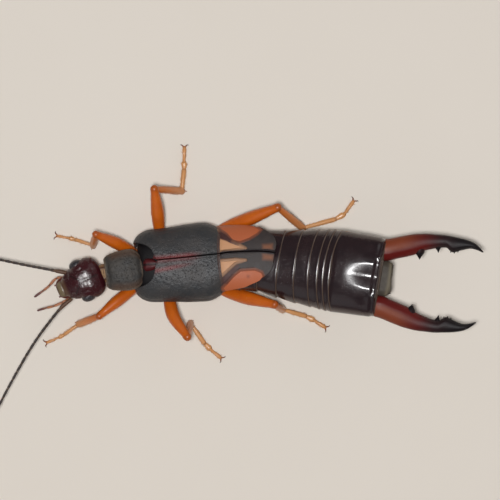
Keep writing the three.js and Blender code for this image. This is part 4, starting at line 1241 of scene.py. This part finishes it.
def make_bristles(name, look, roots, draw):
    """Makes one piece of fine bent bristles, each a solid spike with its own patch on the unwrap."""
    place, outward, onward, unwrap = (np.concatenate(part) for part in zip(*roots))
    count, radius, lean = len(place), BRISTLE["radius"], BRISTLE["lean"]
    long = BRISTLE["length"] * draw.uniform(0.6, 1.25, count)[:, None]
    way = unit(outward * math.sin(lean) + onward * math.cos(lean) + draw.normal(0, 0.12, (count, 3)))
    tip_way = unit(way + 0.35 * onward)
    aside = unit(np.cross(way, outward + 0.01))
    third = np.cross(way, aside)
    turns = np.radians([90, 210, 330])
    ring = aside[:, None] * np.cos(turns)[:, None] + third[:, None] * np.sin(turns)[:, None]
    low = (place - way * 0.02)[:, None] + ring * radius
    middle = (place + way * long * 0.5)[:, None] + ring * radius * 0.7
    tip = (place + way * long * 0.5 + tip_way * long * 0.5)[:, None]
    points = np.concatenate([low, middle, tip], 1)
    faces = np.array([(0, 1, 4, 3), (1, 2, 5, 4), (2, 0, 3, 5)])
    caps = np.array([(3, 4, 6), (4, 5, 6), (5, 3, 6), (2, 1, 0)])
    first = 7 * np.arange(count)[:, None, None]
    every = (first + faces).reshape(-1, 4).tolist() + (first + caps).reshape(-1, 3).tolist()
    mesh = mesh_of(name, points.reshape(-1, 3), every)
    patches = np.array([(0, 0), (0.003, 0), (0.0015, 0.001), (0, 0.0018), (0.003, 0.0018), (0.0015, 0.0024),
                        (0.0015, 0.003)])
    flat = (0.01 + 0.97 * unwrap[:, None] + patches).reshape(-1, 2)
    corner = np.empty(len(mesh.loops), int)
    mesh.loops.foreach_get("vertex_index", corner)
    mesh.uv_layers.new(name="OFBake").uv.foreach_set("vector", flat[corner].ravel().astype(np.float32))
    mesh.materials.append(look)
    part_of_body(name, mesh)


class EARWIG_OT_bristles(EarwigPiece, bpy.types.Operator):
    """Make the fine bristles on the thighs, shins and feet"""
    bl_idname = "earwig.bristles"
    bl_label = "Bristles"

    def build(self):
        look = finish("bristle_gold", (190, 140, 84), (150, 96, 50), amount=0.5, clouds=6, roughness=0.45)
        for number, name in enumerate(LEGS):
            draw = np.random.default_rng(BRISTLE["first_seed"] + number)
            parts = leg_parts(name)
            roots = []
            for spot, (part, grid, share) in enumerate(parts):
                if part in BRISTLE_SHARE:
                    chance = (0.4 + share if part == "tibia" else 0.9) * ((share > 0.02) & (share < 0.98))
                    count = int(sizes().bristles * BRISTLE_SHARE[part])
                    *found, unwrap = bristle_roots(grid, count, chance, draw)
                    roots.append((*found, (unwrap + [spot, 0]) / [BRISTLE["strips"], 1]))
            make_bristles(f"leg_bristles_{name}", look, roots, draw)


class EARWIG_OT_stage(EarwigPiece, bpy.types.Operator):
    """Make the pale floor, the soft lights and the camera"""
    bl_idname = "earwig.stage"
    bl_label = "Stage"

    def build(self):
        scene = bpy.context.scene
        along = np.linspace(-FLOOR_REACH, FLOOR_REACH, FLOOR_ROWS)
        x, y = np.meshgrid(along, along, indexing="ij")
        index = np.arange(FLOOR_ROWS ** 2).reshape(FLOOR_ROWS, FLOOR_ROWS)
        faces = np.stack([index[:-1, :-1], index[1:, :-1], index[1:, 1:], index[:-1, 1:]], -1).reshape(-1, 4)
        floor = bpy.data.meshes.new("floor")
        floor.from_pydata(np.stack([x, y, np.full_like(x, -FLOOR_DROP)], -1).reshape(-1, 3).tolist(), [],
                          faces.tolist())
        floor.materials.append(finish("floor_pale", (226, 218, 208), (218, 209, 198), amount=0.4, clouds=0.02,
                                      roughness=0.8, grain=(2, 0.2), bump=0.01, specular=0.2))
        placed("floor", floor)
        world = bpy.data.worlds.new("studio")
        world.use_nodes = True
        background = world.node_tree.nodes["Background"].inputs
        background["Color"].default_value = (1, 0.97, 0.93, 1)
        background["Strength"].default_value = 0.14
        scene.world = world
        scene.view_settings.view_transform = "Standard"
        centre = (np.array(VIEW_MIDDLE) + SHIFT) * MM
        for name, (offset, wide, power) in LIGHTS.items():
            light = bpy.data.lights.new(name, "AREA")
            light.shape = "DISK"
            light.size = wide
            light.energy = power
            lamp = placed(name, light)
            lamp.location = centre + np.array(offset)
            lamp.rotation_euler = (Vector(centre) - lamp.location).to_track_quat("-Z", "Y").to_euler()
        height = sizes().camera_height
        camera = bpy.data.cameras.new("camera")
        camera.sensor_width = SENSOR
        camera.lens = SENSOR * (height - BACK_HEIGHT) / VIEW_WIDTH
        camera.clip_start = 0.01
        scene.camera = placed("camera", camera)
        scene.camera.location = centre + np.array([0, 0, height])


class EARWIG_PT_panel(bpy.types.Panel):
    """Lists the pieces of the earwig with its sizes and colours"""
    bl_idname = "EARWIG_PT_panel"
    bl_label = "Earwig"
    bl_space_type = "VIEW_3D"
    bl_region_type = "UI"
    bl_category = "Earwig"

    def draw(self, context):
        for piece in PIECES:
            self.layout.operator(piece.bl_idname)
        for settings in (context.scene.earwig_sizes, context.scene.earwig_colours):
            box = self.layout.box()
            for key in settings.__annotations__:
                box.prop(settings, key)


PIECES = (EARWIG_OT_head, EARWIG_OT_eyes, EARWIG_OT_mouthparts, EARWIG_OT_feelers, EARWIG_OT_palps,
          EARWIG_OT_neck, EARWIG_OT_shield, EARWIG_OT_thorax, EARWIG_OT_scutellum, EARWIG_OT_wing_cases,
          EARWIG_OT_wing_tips, EARWIG_OT_abdomen, EARWIG_OT_last_plate, EARWIG_OT_forceps, EARWIG_OT_legs,
          EARWIG_OT_bristles, EARWIG_OT_stage)
CLASSES = (EarwigColours, EarwigSizes, *PIECES, EARWIG_PT_panel)


def register():
    for kind in CLASSES:
        bpy.utils.register_class(kind)
    bpy.types.Scene.earwig_colours = PointerProperty(type=EarwigColours)
    bpy.types.Scene.earwig_sizes = PointerProperty(type=EarwigSizes)


def unregister():
    del bpy.types.Scene.earwig_sizes
    del bpy.types.Scene.earwig_colours
    for kind in reversed(CLASSES):
        bpy.utils.unregister_class(kind)


def main():
    register()
    for piece in PIECES:
        family, name = piece.bl_idname.split(".")
        getattr(getattr(bpy.ops, family), name)()


if __name__ == "__main__":
    main()
